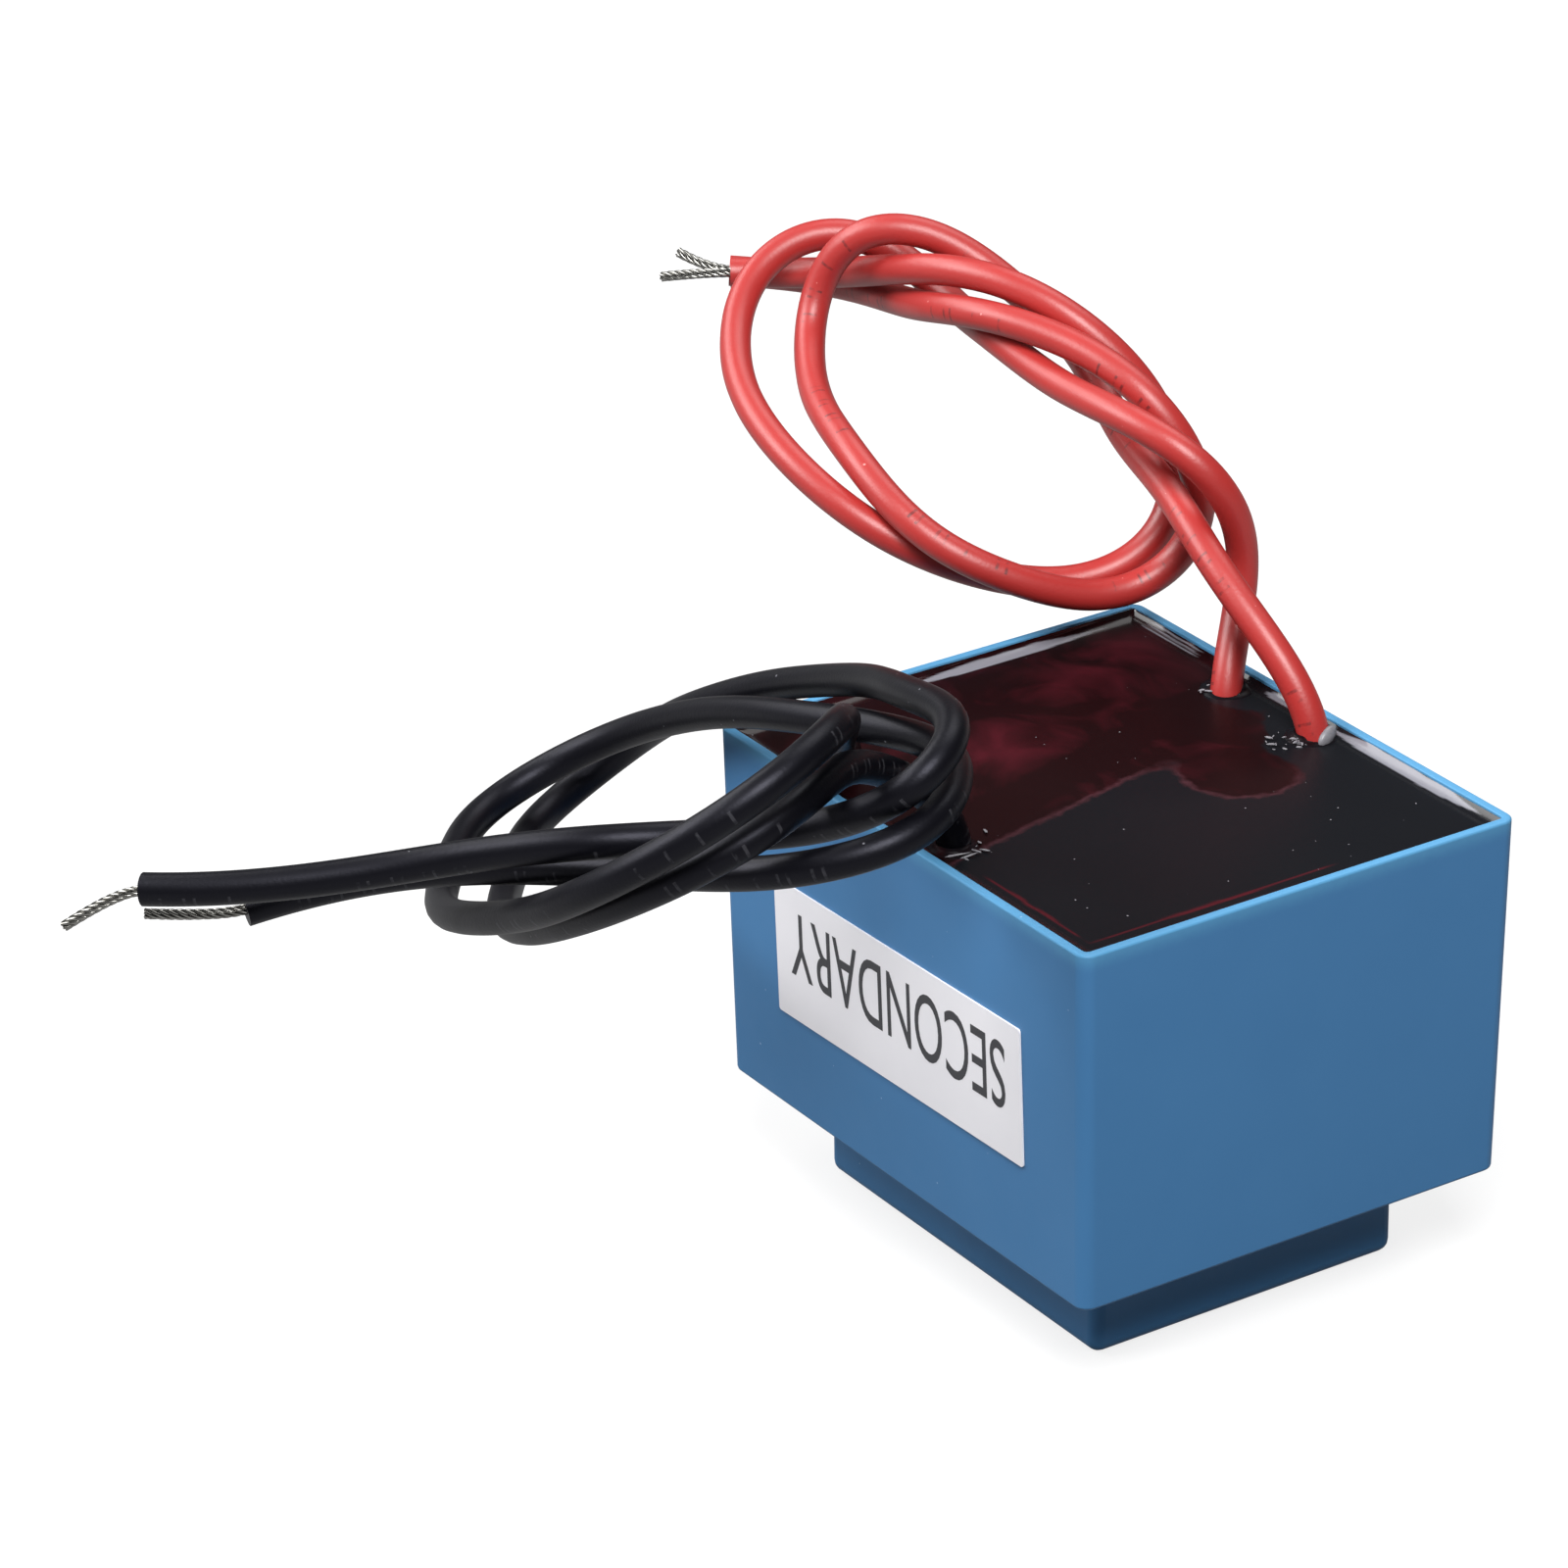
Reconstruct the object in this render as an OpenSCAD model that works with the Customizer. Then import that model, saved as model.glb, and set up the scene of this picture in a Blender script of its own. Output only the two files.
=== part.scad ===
// Potted low voltage lighting transformer: a moulded case filled with resin round a core and
// two coils, with two red and two black leads that stand up out of the resin.
// Millimetres, +Z up, origin at the centre of the flat underside of the step.

/* [Core] */
// Width of the centre leg that carries the bobbin
leg_w = 13; // [11:0.5:16]
// Width of each window between the centre leg and an outer leg
window_w = 8; // [7:0.5:10]
// Length of each window along the centre leg
window_l = 21.4; // [20:0.2:25]
// Width of the yokes and the outer legs
yoke_w = 6; // [5:0.5:8]
// Height of the stack of laminations
stack_h = 18; // [14:0.5:24]

/* [Bobbin and coils] */
// Thickness of the bobbin's tube
tube_t = 0.8; // [0.6:0.1:1.2]
// Thickness of the end flanges and of the divider between the coils
flange_t = 0.8; // [0.6:0.1:1.2]
// Corner radius of the flanges
flange_r = 2; // [1.5:0.25:3]
// Gap between the bobbin's tube and the centre leg
leg_gap = 0.2; // [0.1:0.05:0.3]
// Gap between the bobbin's ends and the yokes
bobbin_gap = 0.4; // [0.3:0.1:0.8]
// Gap between the flanges and the outer legs
flange_gap = 1; // [0.5:0.1:1.5]
// Thickness of the tape round each coil
tape_t = 0.3; // [0.2:0.05:0.5]
// How far the tape lies below the edges of the flanges
tape_set = 0.4; // [0.2:0.1:0.8]

/* [Case] */
// Thickness of the side walls
wall = 0.75; // [0.6:0.05:1.2]
// Thickness of the floors of the box and the step
floor_t = 1.2; // [0.9:0.1:2]
// Slope of the box's side walls in degrees
draft = 0.9; // [0.5:0.05:2]
// Gap between the core and the walls along X
core_gap_x = 1.1; // [0.5:0.05:1.5]
// Gap between the core and the walls along Y
core_gap_y = 0.95; // [0.4:0.05:1.5]
// Thickness of the step's walls
step_wall = 1.2; // [0.9:0.1:2]
// Gap between the coils and the step's walls along X
step_gap_x = 2.2; // [1:0.1:3]
// Gap between the bobbin and the step's walls along Y
step_gap_y = 1.9; // [1:0.1:2.5]
// Gap between the coils and the step's floor
under_gap = 0.8; // [0.3:0.1:1.2]
// Radius of the box's upright edges
edge_r = 1.1; // [0.4:0.1:1.5]
// Radius of the box's lower edges
box_r = 0.3; // [0.1:0.1:1.1]
// Radius of the step's upright edges
step_edge_r = 1; // [0.4:0.1:1.5]
// Radius of the step's lower edges
step_r = 1; // [0.5:0.1:2]
// Radius of the rim's outer edge
rim_r = 0.2; // [0.1:0.05:0.3]
// Radius inside the pot's corners
inner_r = 0.4; // [0.2:0.1:1]

/* [Resin] */
// Depth of resin over the coils
cover = 1.2; // [1:0.1:3]
// Depth of the resin's flat surface below the rim
freeboard = 0.7; // [0.5:0.1:2]
// Width of the curved edge where the resin climbs the walls
meniscus_w = 1.8; // [1:0.1:2.2]
// Height of bare wall left above the resin's edge
rim_gap = 0.1; // [0.05:0.05:0.3]
// Width of the resin's top edge against the wall
lip_w = 0.1; // [0.05:0.05:0.2]
// Height of the resin collar round each lead
collar_h = 0.3; // [0.2:0.05:0.4]
// Width of the resin collar round each lead
collar_w = 0.5; // [0.3:0.1:0.5]

/* [Leads] */
// Diameter of the leads over their insulation
lead_d = 2.4; // [1.6:0.1:2.4]
// Gap between a lead and the resin round it
lead_gap = 0.05; // [0.02:0.01:0.1]
// Diameter of the bare twisted strands
strand_d = 0.7; // [0.5:0.1:1]
// Length of strand that goes on straight out of the lead
strand_start = 1; // [0.5:0.25:1.5]
// Diameter of the soldered joint under each lead
joint_d = 1.8; // [1.4:0.1:2.2]
// Length of the soldered joint under each lead
joint_l = 2; // [1.5:0.1:2.4]
// Gap between the joints and the core below them
joint_gap = 1.3; // [1:0.1:1.6]
// Diameter of the copper tail from a joint to its coil
tail_d = 0.5; // [0.4:0.1:0.8]
// Gap between a tail and the hole for it in the flange
tail_gap = 0.1; // [0.05:0.05:0.2]
// Distance from the wall's inside to the red leads
red_inset = 2.05; // [1.75:0.05:2.5]
// Distance from the wall's inside to the first black lead
black_1_inset = 3.55; // [2.75:0.05:4]
// Distance from the wall's inside to the second black lead
black_2_inset = 2.55; // [1.75:0.05:3]
// Place of the first red lead along X
red_1_x = -7.5; // [-9:0.5:-6]
// Place of the second red lead along X
red_2_x = 2.5; // [1:0.5:4]
// Place of the first black lead along X
black_1_x = -12.5; // [-14:0.5:-11]
// Place of the second black lead along X
black_2_x = 2.5; // [1:0.5:4]

/* [Label] */
// Width of the label
label_w = 30.8; // [24:0.2:36]
// Height of the label
label_h = 10.8; // [8:0.2:14]
// Thickness of the label
label_t = 0.15; // [0.1:0.05:0.3]
// Gap of glue behind the label
label_gap = 0.02; // [0.01:0.01:0.05]
// Corner radius of the label
label_r = 0.4; // [0.2:0.1:1]
// Place of the label's middle along X
label_x = 0; // [-3:0.2:3]
// Distance from the rim down to the label's middle
label_drop = 14.4; // [10:0.1:18]
// Lean of the label in its plane in degrees
label_lean = 1.25; // [-3:0.25:3]

/* [Hidden] */
$fn = 48;
arc_n = 4;
lead_sides = 8;
over = 1;

core_w = leg_w + 2 * window_w + 2 * yoke_w;
core_l = window_l + 2 * yoke_w;
coil_rise = window_w - flange_gap;
flange_w = leg_w + 2 * coil_rise;
flange_h = stack_h + 2 * coil_rise;
bobbin_l = window_l - 2 * bobbin_gap;
coil_l = (bobbin_l - 3 * flange_t) / 2;
tube_w = leg_w + 2 * leg_gap + 2 * tube_t;
tube_h = stack_h + 2 * leg_gap + 2 * tube_t;
tape_w = flange_w - 2 * tape_set;
tape_h = flange_h - 2 * tape_set;

// Heights: the coils hang into the step and the core stands on the box's floor.
core_z = floor_t + under_gap + coil_rise;
step_h = core_z - floor_t;
core_mid = core_z + stack_h / 2;
core_top = core_z + stack_h;
level_z = core_top + coil_rise + cover;
rim_z = level_z + freeboard;
lip_z = rim_z - rim_gap;
lead_in = coil_rise + cover - joint_l - joint_gap;

// Case sizes, worked outward from the core and the coils.
slope = tan(draft);
rim_grow = 2 * (rim_z - core_z) * slope;
case_w = core_w + 2 * core_gap_x + 2 * wall + rim_grow;
case_d = core_l + 2 * core_gap_y + 2 * wall + rim_grow;
step_in_w = flange_w + 2 * step_gap_x;
step_in_d = bobbin_l + 2 * step_gap_y;
step_w = step_in_w + 2 * step_wall;
step_d = step_in_d + 2 * step_wall;

// Where each lead leaves the resin.
inside_y = case_d / 2 - wall;
red_exit_1 = [red_1_x, inside_y - red_inset, level_z];
red_exit_2 = [red_2_x, inside_y - red_inset, level_z];
black_exit_1 = [black_1_x, black_1_inset - inside_y, level_z];
black_exit_2 = [black_2_x, black_2_inset - inside_y, level_z];

// How far along X each tail comes back toward the middle of its coil.
tail_pull = 0.7;

// Routes of the leads, as steps from where each leaves the resin.
red_route_1 = [
    [0, 0, 1], [-2.5, 3, 6.5], [-3, 1, 15], [-9.5, -2, 18.5], [-20.5, -2, 18.5], [-30, -1, 19],
    [-40, 1, 19], [-45.5, -2.5, 22], [-47.5, -9.5, 20], [-44, -14, 17], [-31.5, -18.5, 13],
    [-21, -15.5, 8.5], [-17, -8.5, 5], [-14, -1, 4.5], [-13, 4, 8], [-15.5, 5.5, 14],
    [-20, 2.5, 20.5], [-27, -1, 23.5], [-35, -3, 22.5], [-45.5, -3.5, 19], [-52.5, -9, 18]
];
red_route_2 = [
    [0, 0, 1], [-6, -1, 7.5], [-12, -1, 11], [-18.5, 0.5, 13], [-27.5, 2.5, 14.5], [-34, 4, 17.5],
    [-41, 3, 20.5], [-46.5, -0.5, 24], [-50.5, -5, 24], [-53, -7.5, 18], [-50, -10, 15.5],
    [-35, -15.5, 13], [-27.5, -14.5, 9.5], [-22.5, -8.5, 6], [-20.5, -1, 4.5], [-19, 3.5, 8.5],
    [-19, 3, 14.5], [-22, 1, 19], [-29, -0.5, 21], [-36.5, -3, 21.5], [-46.5, -2.5, 19],
    [-56.5, -1.5, 17], [-65, -7.5, 17]
];
black_route_1 = [
    [0, 0, 1.5], [8, -6, 5], [15, -10.5, 11], [23, -16, 16.5], [26.5, -23, 16], [25, -28, 13],
    [19.5, -32.5, 8], [10, -33, 2], [0.5, -32, -2.5], [-7.5, -29.5, -5.5], [-16, -23.5, -7],
    [-22, -16.5, -7], [-21, -10.5, -4.5], [-4.5, -6.5, 4.5], [5, -6, 7.5], [19.5, -5, 10.5],
    [26, -8.5, 11.5], [30, -14, 11], [27, -20.5, 9], [19.5, -24.5, 6.5], [0.5, -35, 2],
    [-6, -46, -0.5]
];
black_route_2 = [
    [0, 0, 1], [2, -6, 8], [6, -13.5, 12], [10, -21, 12], [9, -25.5, 10], [4, -29, 6],
    [-5, -29.5, 0.5], [-14, -27.5, -4], [-32, -16.5, -9], [-38.5, -9.5, -9.5], [-38, -4, -6.5],
    [-30.5, -3, -0.5], [-13, -2, 8.5], [5.5, -6, 15], [12.5, -8.5, 16], [14.5, -12.5, 14.5],
    [10.5, -15, 11], [4.5, -17.5, 8], [1.5, -25.5, 8.5], [-6.5, -33.5, 6.5], [-14, -42, 4],
    [-22.5, -52, 2.5]
];

// Where the tip of each bare end lies from the end of its lead.
red_tip_1 = [-4.5, -3.5, -1];
red_tip_2 = [-3.5, -2.5, 1];
black_tip_1 = [-3.5, -6, 0];
black_tip_2 = [-3.5, -4.5, -3];

// A closed skin through rings of points that all have the same count.
module skin(rings) {
    count = len(rings[0]);
    last = len(rings) - 1;
    polyhedron(
        points = [for (ring = rings) each ring],
        faces = concat(
            [[for (k = [0 : count - 1]) k]],
            [for (j = [0 : last - 1], k = [0 : count - 1])
                let (m = (k + 1) % count)
                [j * count + k, (j + 1) * count + k, (j + 1) * count + m, j * count + m]],
            [[for (k = [count - 1 : -1 : 0]) last * count + k]]
        ),
        convexity = 8
    );
}

// A level ring of points round a rectangle with round corners.
function box_ring(w, d, r, z) = [
    for (side = [0 : 3], k = [0 : arc_n])
        let (a = 90 * (side + k / arc_n))
        [
            (side == 0 || side == 3 ? 1 : -1) * (w / 2 - r) + r * cos(a),
            (side < 2 ? 1 : -1) * (d / 2 - r) + r * sin(a),
            z
        ]
];

// How much narrower the drafted box is at a height than at the rim.
function draft_at(z) = 2 * (rim_z - z) * slope;

// A ring on the box's outside, drawn in by an inset.
function outer_ring(z, inset) = box_ring(
    case_w - draft_at(z) - 2 * inset, case_d - draft_at(z) - 2 * inset, edge_r, z);

// A ring on the pot's inside, drawn in by an inset that also rounds its corners.
function inner_ring(z, inset) = box_ring(
    case_w - draft_at(z) - 2 * wall - 2 * inset, case_d - draft_at(z) - 2 * wall - 2 * inset,
    inner_r + inset, z);

arc_angles = [for (k = [0 : arc_n]) 90 * k / arc_n];

// The pot's inside from the step's floor to the box's floor.
function pot_floor_rings() = concat(
    [for (a = arc_angles)
        let (inset = inner_r * (1 - sin(a)))
        box_ring(step_in_w - 2 * inset, step_in_d - 2 * inset, step_edge_r,
            floor_t + inner_r * (1 - cos(a)))],
    [box_ring(step_in_w, step_in_d, step_edge_r, core_z), inner_ring(core_z, 0)]
);

// The resin's curved edge, from its lip at the wall down to the flat surface.
function meniscus_rings() = [
    for (a = [90 : -90 / arc_n : 0])
        inner_ring(level_z + (lip_z - level_z) * (1 - cos(a)), lip_w + meniscus_w * (1 - sin(a)))
];

function unit(v) = v / norm(v);

// The direction of a route at one of its points.
function along(route, i) =
    i == 0 ? unit(route[1] - route[0]) :
    i == len(route) - 1 ? unit(route[i] - route[i - 1]) :
    unit(unit(route[i + 1] - route[i]) + unit(route[i] - route[i - 1]));

// A direction square to each point of a route, carried along without twist.
function across(route, i = 0, side = [0.6, 0.8, 0]) =
    i == len(route) ? [] :
    let (t = along(route, i), square = unit(side - (side * t) * t))
    concat([square], across(route, i + 1, square));

// A round tube along a route.
module sweep(route, d) {
    sides = across(route);
    skin([for (i = [0 : len(route) - 1])
        let (u = sides[i], v = cross(along(route, i), u))
        [for (k = [0 : lead_sides - 1])
            let (a = 360 * k / lead_sides)
            route[i] + d / 2 * (cos(a) * u + sin(a) * v)]]);
}

// The whole of a lead's route, from the joint below the resin to its end.
function lead_path(exit, route) = [
    for (step = concat([[0, 0, -lead_in]], route)) exit + step
];

module lead(exit, route) {
    sweep(lead_path(exit, route), lead_d);
}

module strands(exit, route, tip) {
    path = lead_path(exit, route);
    end = path[len(path) - 1];
    sweep([end, end + strand_start * along(path, len(path) - 1), end + tip], strand_d);
}

// The height of the copper tails, halfway down the joints.
tail_z = level_z - lead_in - joint_l / 2;

// The soldered joint below a lead, with its tail to the end face of a coil.
module joint(exit) {
    coil_face = sign(exit.y) * (coil_l + flange_t / 2);
    translate([exit.x, exit.y, level_z - lead_in - joint_l])
        cylinder(d = joint_d, h = joint_l);
    sweep([
        [exit.x, exit.y, tail_z],
        [exit.x * tail_pull, exit.y, tail_z],
        [exit.x * tail_pull, coil_face, tail_z]
    ], tail_d);
}

// A rectangle with round corners in the plane of the coils' turns.
module round_rect(w, h, r) {
    square([w - 2 * r, h], center = true);
    square([w, h - 2 * r], center = true);
    for (x = [-1, 1], y = [-1, 1])
        translate([x * (w / 2 - r), y * (h / 2 - r)]) circle(r);
}

// A plate along Y from one place to another, of the shape given for the coils' turns.
module coil_plate(y_from, y_to) {
    translate([0, y_to, core_mid]) rotate([90, 0, 0])
        linear_extrude(y_to - y_from) children();
}

// The places along Y where the flanges and the divider begin.
flange_ys = [-bobbin_l / 2, -flange_t / 2, bobbin_l / 2 - flange_t];

module case() {
    color("SteelBlue") difference() {
        union() {
            skin(concat(
                [for (a = arc_angles)
                    outer_ring(step_h + box_r * (1 - cos(a)), box_r * (1 - sin(a)))],
                [for (a = arc_angles)
                    outer_ring(rim_z - rim_r * (1 - sin(a)), rim_r * (1 - cos(a)))]
            ));
            skin(concat(
                [for (a = arc_angles)
                    let (inset = step_r * (1 - sin(a)))
                    box_ring(step_w - 2 * inset, step_d - 2 * inset, step_edge_r,
                        step_r * (1 - cos(a)))],
                [box_ring(step_w, step_d, step_edge_r, step_h + floor_t / 2)]
            ));
        }
        skin(concat(pot_floor_rings(), [inner_ring(rim_z + over, 0)]));
    }
}

module potting_compound() {
    exits = [red_exit_1, red_exit_2, black_exit_1, black_exit_2];
    color("#2a1a20") difference() {
        union() {
            skin(concat(pot_floor_rings(), meniscus_rings()));
            for (exit = exits)
                translate(exit - [0, 0, collar_h])
                    cylinder(h = 2 * collar_h, d1 = lead_d + 2 * collar_w, d2 = lead_d + collar_w);
        }
        core_e_stack();
        core_i_stack();
        coil_plate(-bobbin_l / 2, bobbin_l / 2) round_rect(tape_w, tape_h, flange_r);
        for (y = flange_ys)
            coil_plate(y, y + flange_t) round_rect(flange_w, flange_h, flange_r);
        for (exit = exits) {
            joint(exit);
            translate(exit - [0, 0, lead_in])
                cylinder(d = lead_d + 2 * lead_gap, h = lead_in + over);
        }
    }
}

module core_e_stack() {
    color("SlateGray") translate([0, -yoke_w / 2, core_mid]) difference() {
        cube([core_w, core_l - yoke_w, stack_h], center = true);
        for (x = [-1, 1])
            translate([x * (leg_w + window_w) / 2, (yoke_w + over) / 2, 0])
                cube([window_w, window_l + over, stack_h + over], center = true);
    }
}

module core_i_stack() {
    color("SlateGray") translate([0, (window_l + yoke_w) / 2, core_mid])
        cube([core_w, yoke_w, stack_h], center = true);
}

module bobbin() {
    exits = [red_exit_1, red_exit_2, black_exit_1, black_exit_2];
    color("Ivory") difference() {
        union() {
            coil_plate(-bobbin_l / 2, bobbin_l / 2) square([tube_w, tube_h], center = true);
            for (y = flange_ys)
                coil_plate(y, y + flange_t) round_rect(flange_w, flange_h, flange_r);
        }
        coil_plate(-bobbin_l / 2 - over, bobbin_l / 2 + over)
            square([tube_w - 2 * tube_t, tube_h - 2 * tube_t], center = true);
        for (exit = exits)
            translate([exit.x * tail_pull, sign(exit.y) * (bobbin_l - flange_t) / 2, tail_z])
                rotate([90, 0, 0])
                    cylinder(d = tail_d + 2 * tail_gap, h = flange_t + over, center = true);
    }
}

// One coil's copper between the divider and an end flange, on the side given.
module winding(side) {
    middle = side * (coil_l + flange_t) / 2;
    color("Chocolate") coil_plate(middle - coil_l / 2, middle + coil_l / 2) difference() {
        round_rect(tape_w - 2 * tape_t, tape_h - 2 * tape_t, flange_r - tape_t);
        square([tube_w, tube_h], center = true);
    }
}

// The tape round one coil, on the side given.
module tape(side) {
    middle = side * (coil_l + flange_t) / 2;
    color("Maroon") coil_plate(middle - coil_l / 2, middle + coil_l / 2) difference() {
        round_rect(tape_w, tape_h, flange_r);
        round_rect(tape_w - 2 * tape_t, tape_h - 2 * tape_t, flange_r - tape_t);
    }
}

module primary_winding() { winding(1); }

module primary_tape() { tape(1); }

module secondary_winding() { winding(-1); }

module secondary_tape() { tape(-1); }

module red_joint_1() { color("Silver") joint(red_exit_1); }

module red_joint_2() { color("Silver") joint(red_exit_2); }

module black_joint_1() { color("Silver") joint(black_exit_1); }

module black_joint_2() { color("Silver") joint(black_exit_2); }

module red_lead_1() { color("Crimson") lead(red_exit_1, red_route_1); }

module red_lead_2() { color("Crimson") lead(red_exit_2, red_route_2); }

module black_lead_1() { color("#222226") lead(black_exit_1, black_route_1); }

module black_lead_2() { color("#222226") lead(black_exit_2, black_route_2); }

module red_strands_1() { color("Silver") strands(red_exit_1, red_route_1, red_tip_1); }

module red_strands_2() { color("Silver") strands(red_exit_2, red_route_2, red_tip_2); }

module black_strands_1() { color("Silver") strands(black_exit_1, black_route_1, black_tip_1); }

module black_strands_2() { color("Silver") strands(black_exit_2, black_route_2, black_tip_2); }

module label() {
    z = rim_z - label_drop;
    color("White") translate([label_x, (draft_at(z) - case_d) / 2, z]) rotate([90 + draft, 0, 0])
        translate([0, 0, label_gap]) rotate([0, 0, label_lean])
            linear_extrude(label_t) round_rect(label_w, label_h, label_r);
}

case();
potting_compound();
core_e_stack();
core_i_stack();
bobbin();
primary_winding();
primary_tape();
secondary_winding();
secondary_tape();
red_joint_1();
red_joint_2();
black_joint_1();
black_joint_2();
red_lead_1();
red_lead_2();
black_lead_1();
black_lead_2();
red_strands_1();
red_strands_2();
black_strands_1();
black_strands_2();
label();
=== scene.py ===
"""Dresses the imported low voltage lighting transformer: case, resin, leads, label and studio."""

import math

import bmesh
import bpy
import numpy as np
from bpy.props import (
    FloatProperty, FloatVectorProperty, IntProperty, PointerProperty, StringProperty)
from mathutils import Matrix, Vector, noise
from mathutils.geometry import interpolate_bezier, intersect_point_line


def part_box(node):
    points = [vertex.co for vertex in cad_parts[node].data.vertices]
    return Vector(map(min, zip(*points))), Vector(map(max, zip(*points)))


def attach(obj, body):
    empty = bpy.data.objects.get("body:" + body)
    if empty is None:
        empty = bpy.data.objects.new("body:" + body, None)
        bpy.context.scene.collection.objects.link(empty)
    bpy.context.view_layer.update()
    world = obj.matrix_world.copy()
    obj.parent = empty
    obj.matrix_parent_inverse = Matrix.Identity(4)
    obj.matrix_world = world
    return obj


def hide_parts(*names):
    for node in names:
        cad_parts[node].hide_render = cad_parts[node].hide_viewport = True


bl_info = {
    "name": "Potted Lighting Transformer",
    "version": (1, 0, 0),
    "blender": (4, 5, 0),
    "location": "View3D > Sidebar > Transformer",
    "description": "Dresses a potted low voltage lighting transformer and lights its studio",
    "category": "Object",
}

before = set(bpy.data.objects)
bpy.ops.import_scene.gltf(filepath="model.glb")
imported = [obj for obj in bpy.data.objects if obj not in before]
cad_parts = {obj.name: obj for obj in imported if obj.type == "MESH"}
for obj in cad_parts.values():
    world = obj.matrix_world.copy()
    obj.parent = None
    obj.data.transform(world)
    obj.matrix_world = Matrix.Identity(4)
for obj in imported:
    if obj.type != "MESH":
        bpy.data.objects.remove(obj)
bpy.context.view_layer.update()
case_low, case_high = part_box("case")

MM = 0.001

# The leads' routes as the part's source has them, in millimetres: where each leaves the resin, its
# steps from there, and where the tip of its bare end lies from the end of its insulation.
LEADS = {
    "red_lead_1": (
        (-7.5, 16.02, 35.2),
        [
            (0, 0, 1), (-2.5, 3, 6.5), (-3, 1, 15), (-9.5, -2, 18.5), (-20.5, -2, 18.5),
            (-30, -1, 19), (-40, 1, 19), (-45.5, -2.5, 22), (-47.5, -9.5, 20), (-44, -14, 17),
            (-31.5, -18.5, 13), (-21, -15.5, 8.5), (-17, -8.5, 5), (-14, -1, 4.5), (-13, 4, 8),
            (-15.5, 5.5, 14), (-20, 2.5, 20.5), (-27, -1, 23.5), (-35, -3, 22.5),
            (-45.5, -3.5, 19), (-52.5, -9, 18),
        ],
        (-4.5, -3.5, -1),
    ),
    "red_lead_2": (
        (2.5, 16.02, 35.2),
        [
            (0, 0, 1), (-6, -1, 7.5), (-12, -1, 11), (-18.5, 0.5, 13), (-27.5, 2.5, 14.5),
            (-34, 4, 17.5), (-41, 3, 20.5), (-46.5, -0.5, 24), (-50.5, -5, 24), (-53, -7.5, 18),
            (-50, -10, 15.5), (-35, -15.5, 13), (-27.5, -14.5, 9.5), (-22.5, -8.5, 6),
            (-20.5, -1, 4.5), (-19, 3.5, 8.5), (-19, 3, 14.5), (-22, 1, 19), (-29, -0.5, 21),
            (-36.5, -3, 21.5), (-46.5, -2.5, 19), (-56.5, -1.5, 17), (-65, -7.5, 17),
        ],
        (-3.5, -2.5, 1),
    ),
    "black_lead_1": (
        (-12.5, -14.52, 35.2),
        [
            (0, 0, 1.5), (8, -6, 5), (15, -10.5, 11), (23, -16, 16.5), (26.5, -23, 16),
            (25, -28, 13), (19.5, -32.5, 8), (10, -33, 2), (0.5, -32, -2.5), (-7.5, -29.5, -5.5),
            (-16, -23.5, -7), (-22, -16.5, -7), (-21, -10.5, -4.5), (-4.5, -6.5, 4.5),
            (5, -6, 7.5), (19.5, -5, 10.5), (26, -8.5, 11.5), (30, -14, 11), (27, -20.5, 9),
            (19.5, -24.5, 6.5), (0.5, -35, 2), (-6, -46, -0.5),
        ],
        (-3.5, -6, 0),
    ),
    "black_lead_2": (
        (2.5, -15.52, 35.2),
        [
            (0, 0, 1), (2, -6, 8), (6, -13.5, 12), (10, -21, 12), (9, -25.5, 10), (4, -29, 6),
            (-5, -29.5, 0.5), (-14, -27.5, -4), (-32, -16.5, -9), (-38.5, -9.5, -9.5),
            (-38, -4, -6.5), (-30.5, -3, -0.5), (-13, -2, 8.5), (5.5, -6, 15), (12.5, -8.5, 16),
            (14.5, -12.5, 14.5), (10.5, -15, 11), (4.5, -17.5, 8), (1.5, -25.5, 8.5),
            (-6.5, -33.5, 6.5), (-14, -42, 4), (-22.5, -52, 2.5),
        ],
        (-3.5, -4.5, -3),
    ),
}
# How far below the resin's surface each lead starts, in millimetres.
LEAD_IN = 4.9
# How far up its insulation a bare end starts, and the reach of its bend beyond, in millimetres.
BARE_IN = 1.5
BARE_BEND = (0.5, 1.5)

# The marks on the resin, in millimetres. The first pour's straight edge goes through this point and
# leans by this slant, and lobes reach beyond it: the middle and the radius of each.
POUR_EDGE = (2.1, -4.4)
POUR_SLANT = 0.22
LOBES = (((4.2, 8.4), 4.6), ((0.5, 13.5), 3.5))
# The tide line is faint on one side of the first lobe and gets stronger this way.
SHORE_WAY = (0.7, -0.7)
SHORE_FAINT = 0.4
SHORE_GAIN = 0.25
# A dark streak runs through the first pour along these points.
STREAK = ((-0.8, -10.8), (-2.3, -4.7), (-4.1, 2.7), (-7.1, 12.8))
STREAK_WIDTH = 1.1
STREAK_DEPTH = 0.6
# The first pour is clearer at these spots.
CLEARINGS = ((-15.6, 8.3), (-17.7, 14.3), (-9.7, -3.8))
CLEARING_SIZE = 3.6
CLEARING_DEPTH = 0.34
# Black resin pools where each red lead leaves.
POOL_SIZE = 3.0
POOL_DEPTH = 9.0
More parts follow.
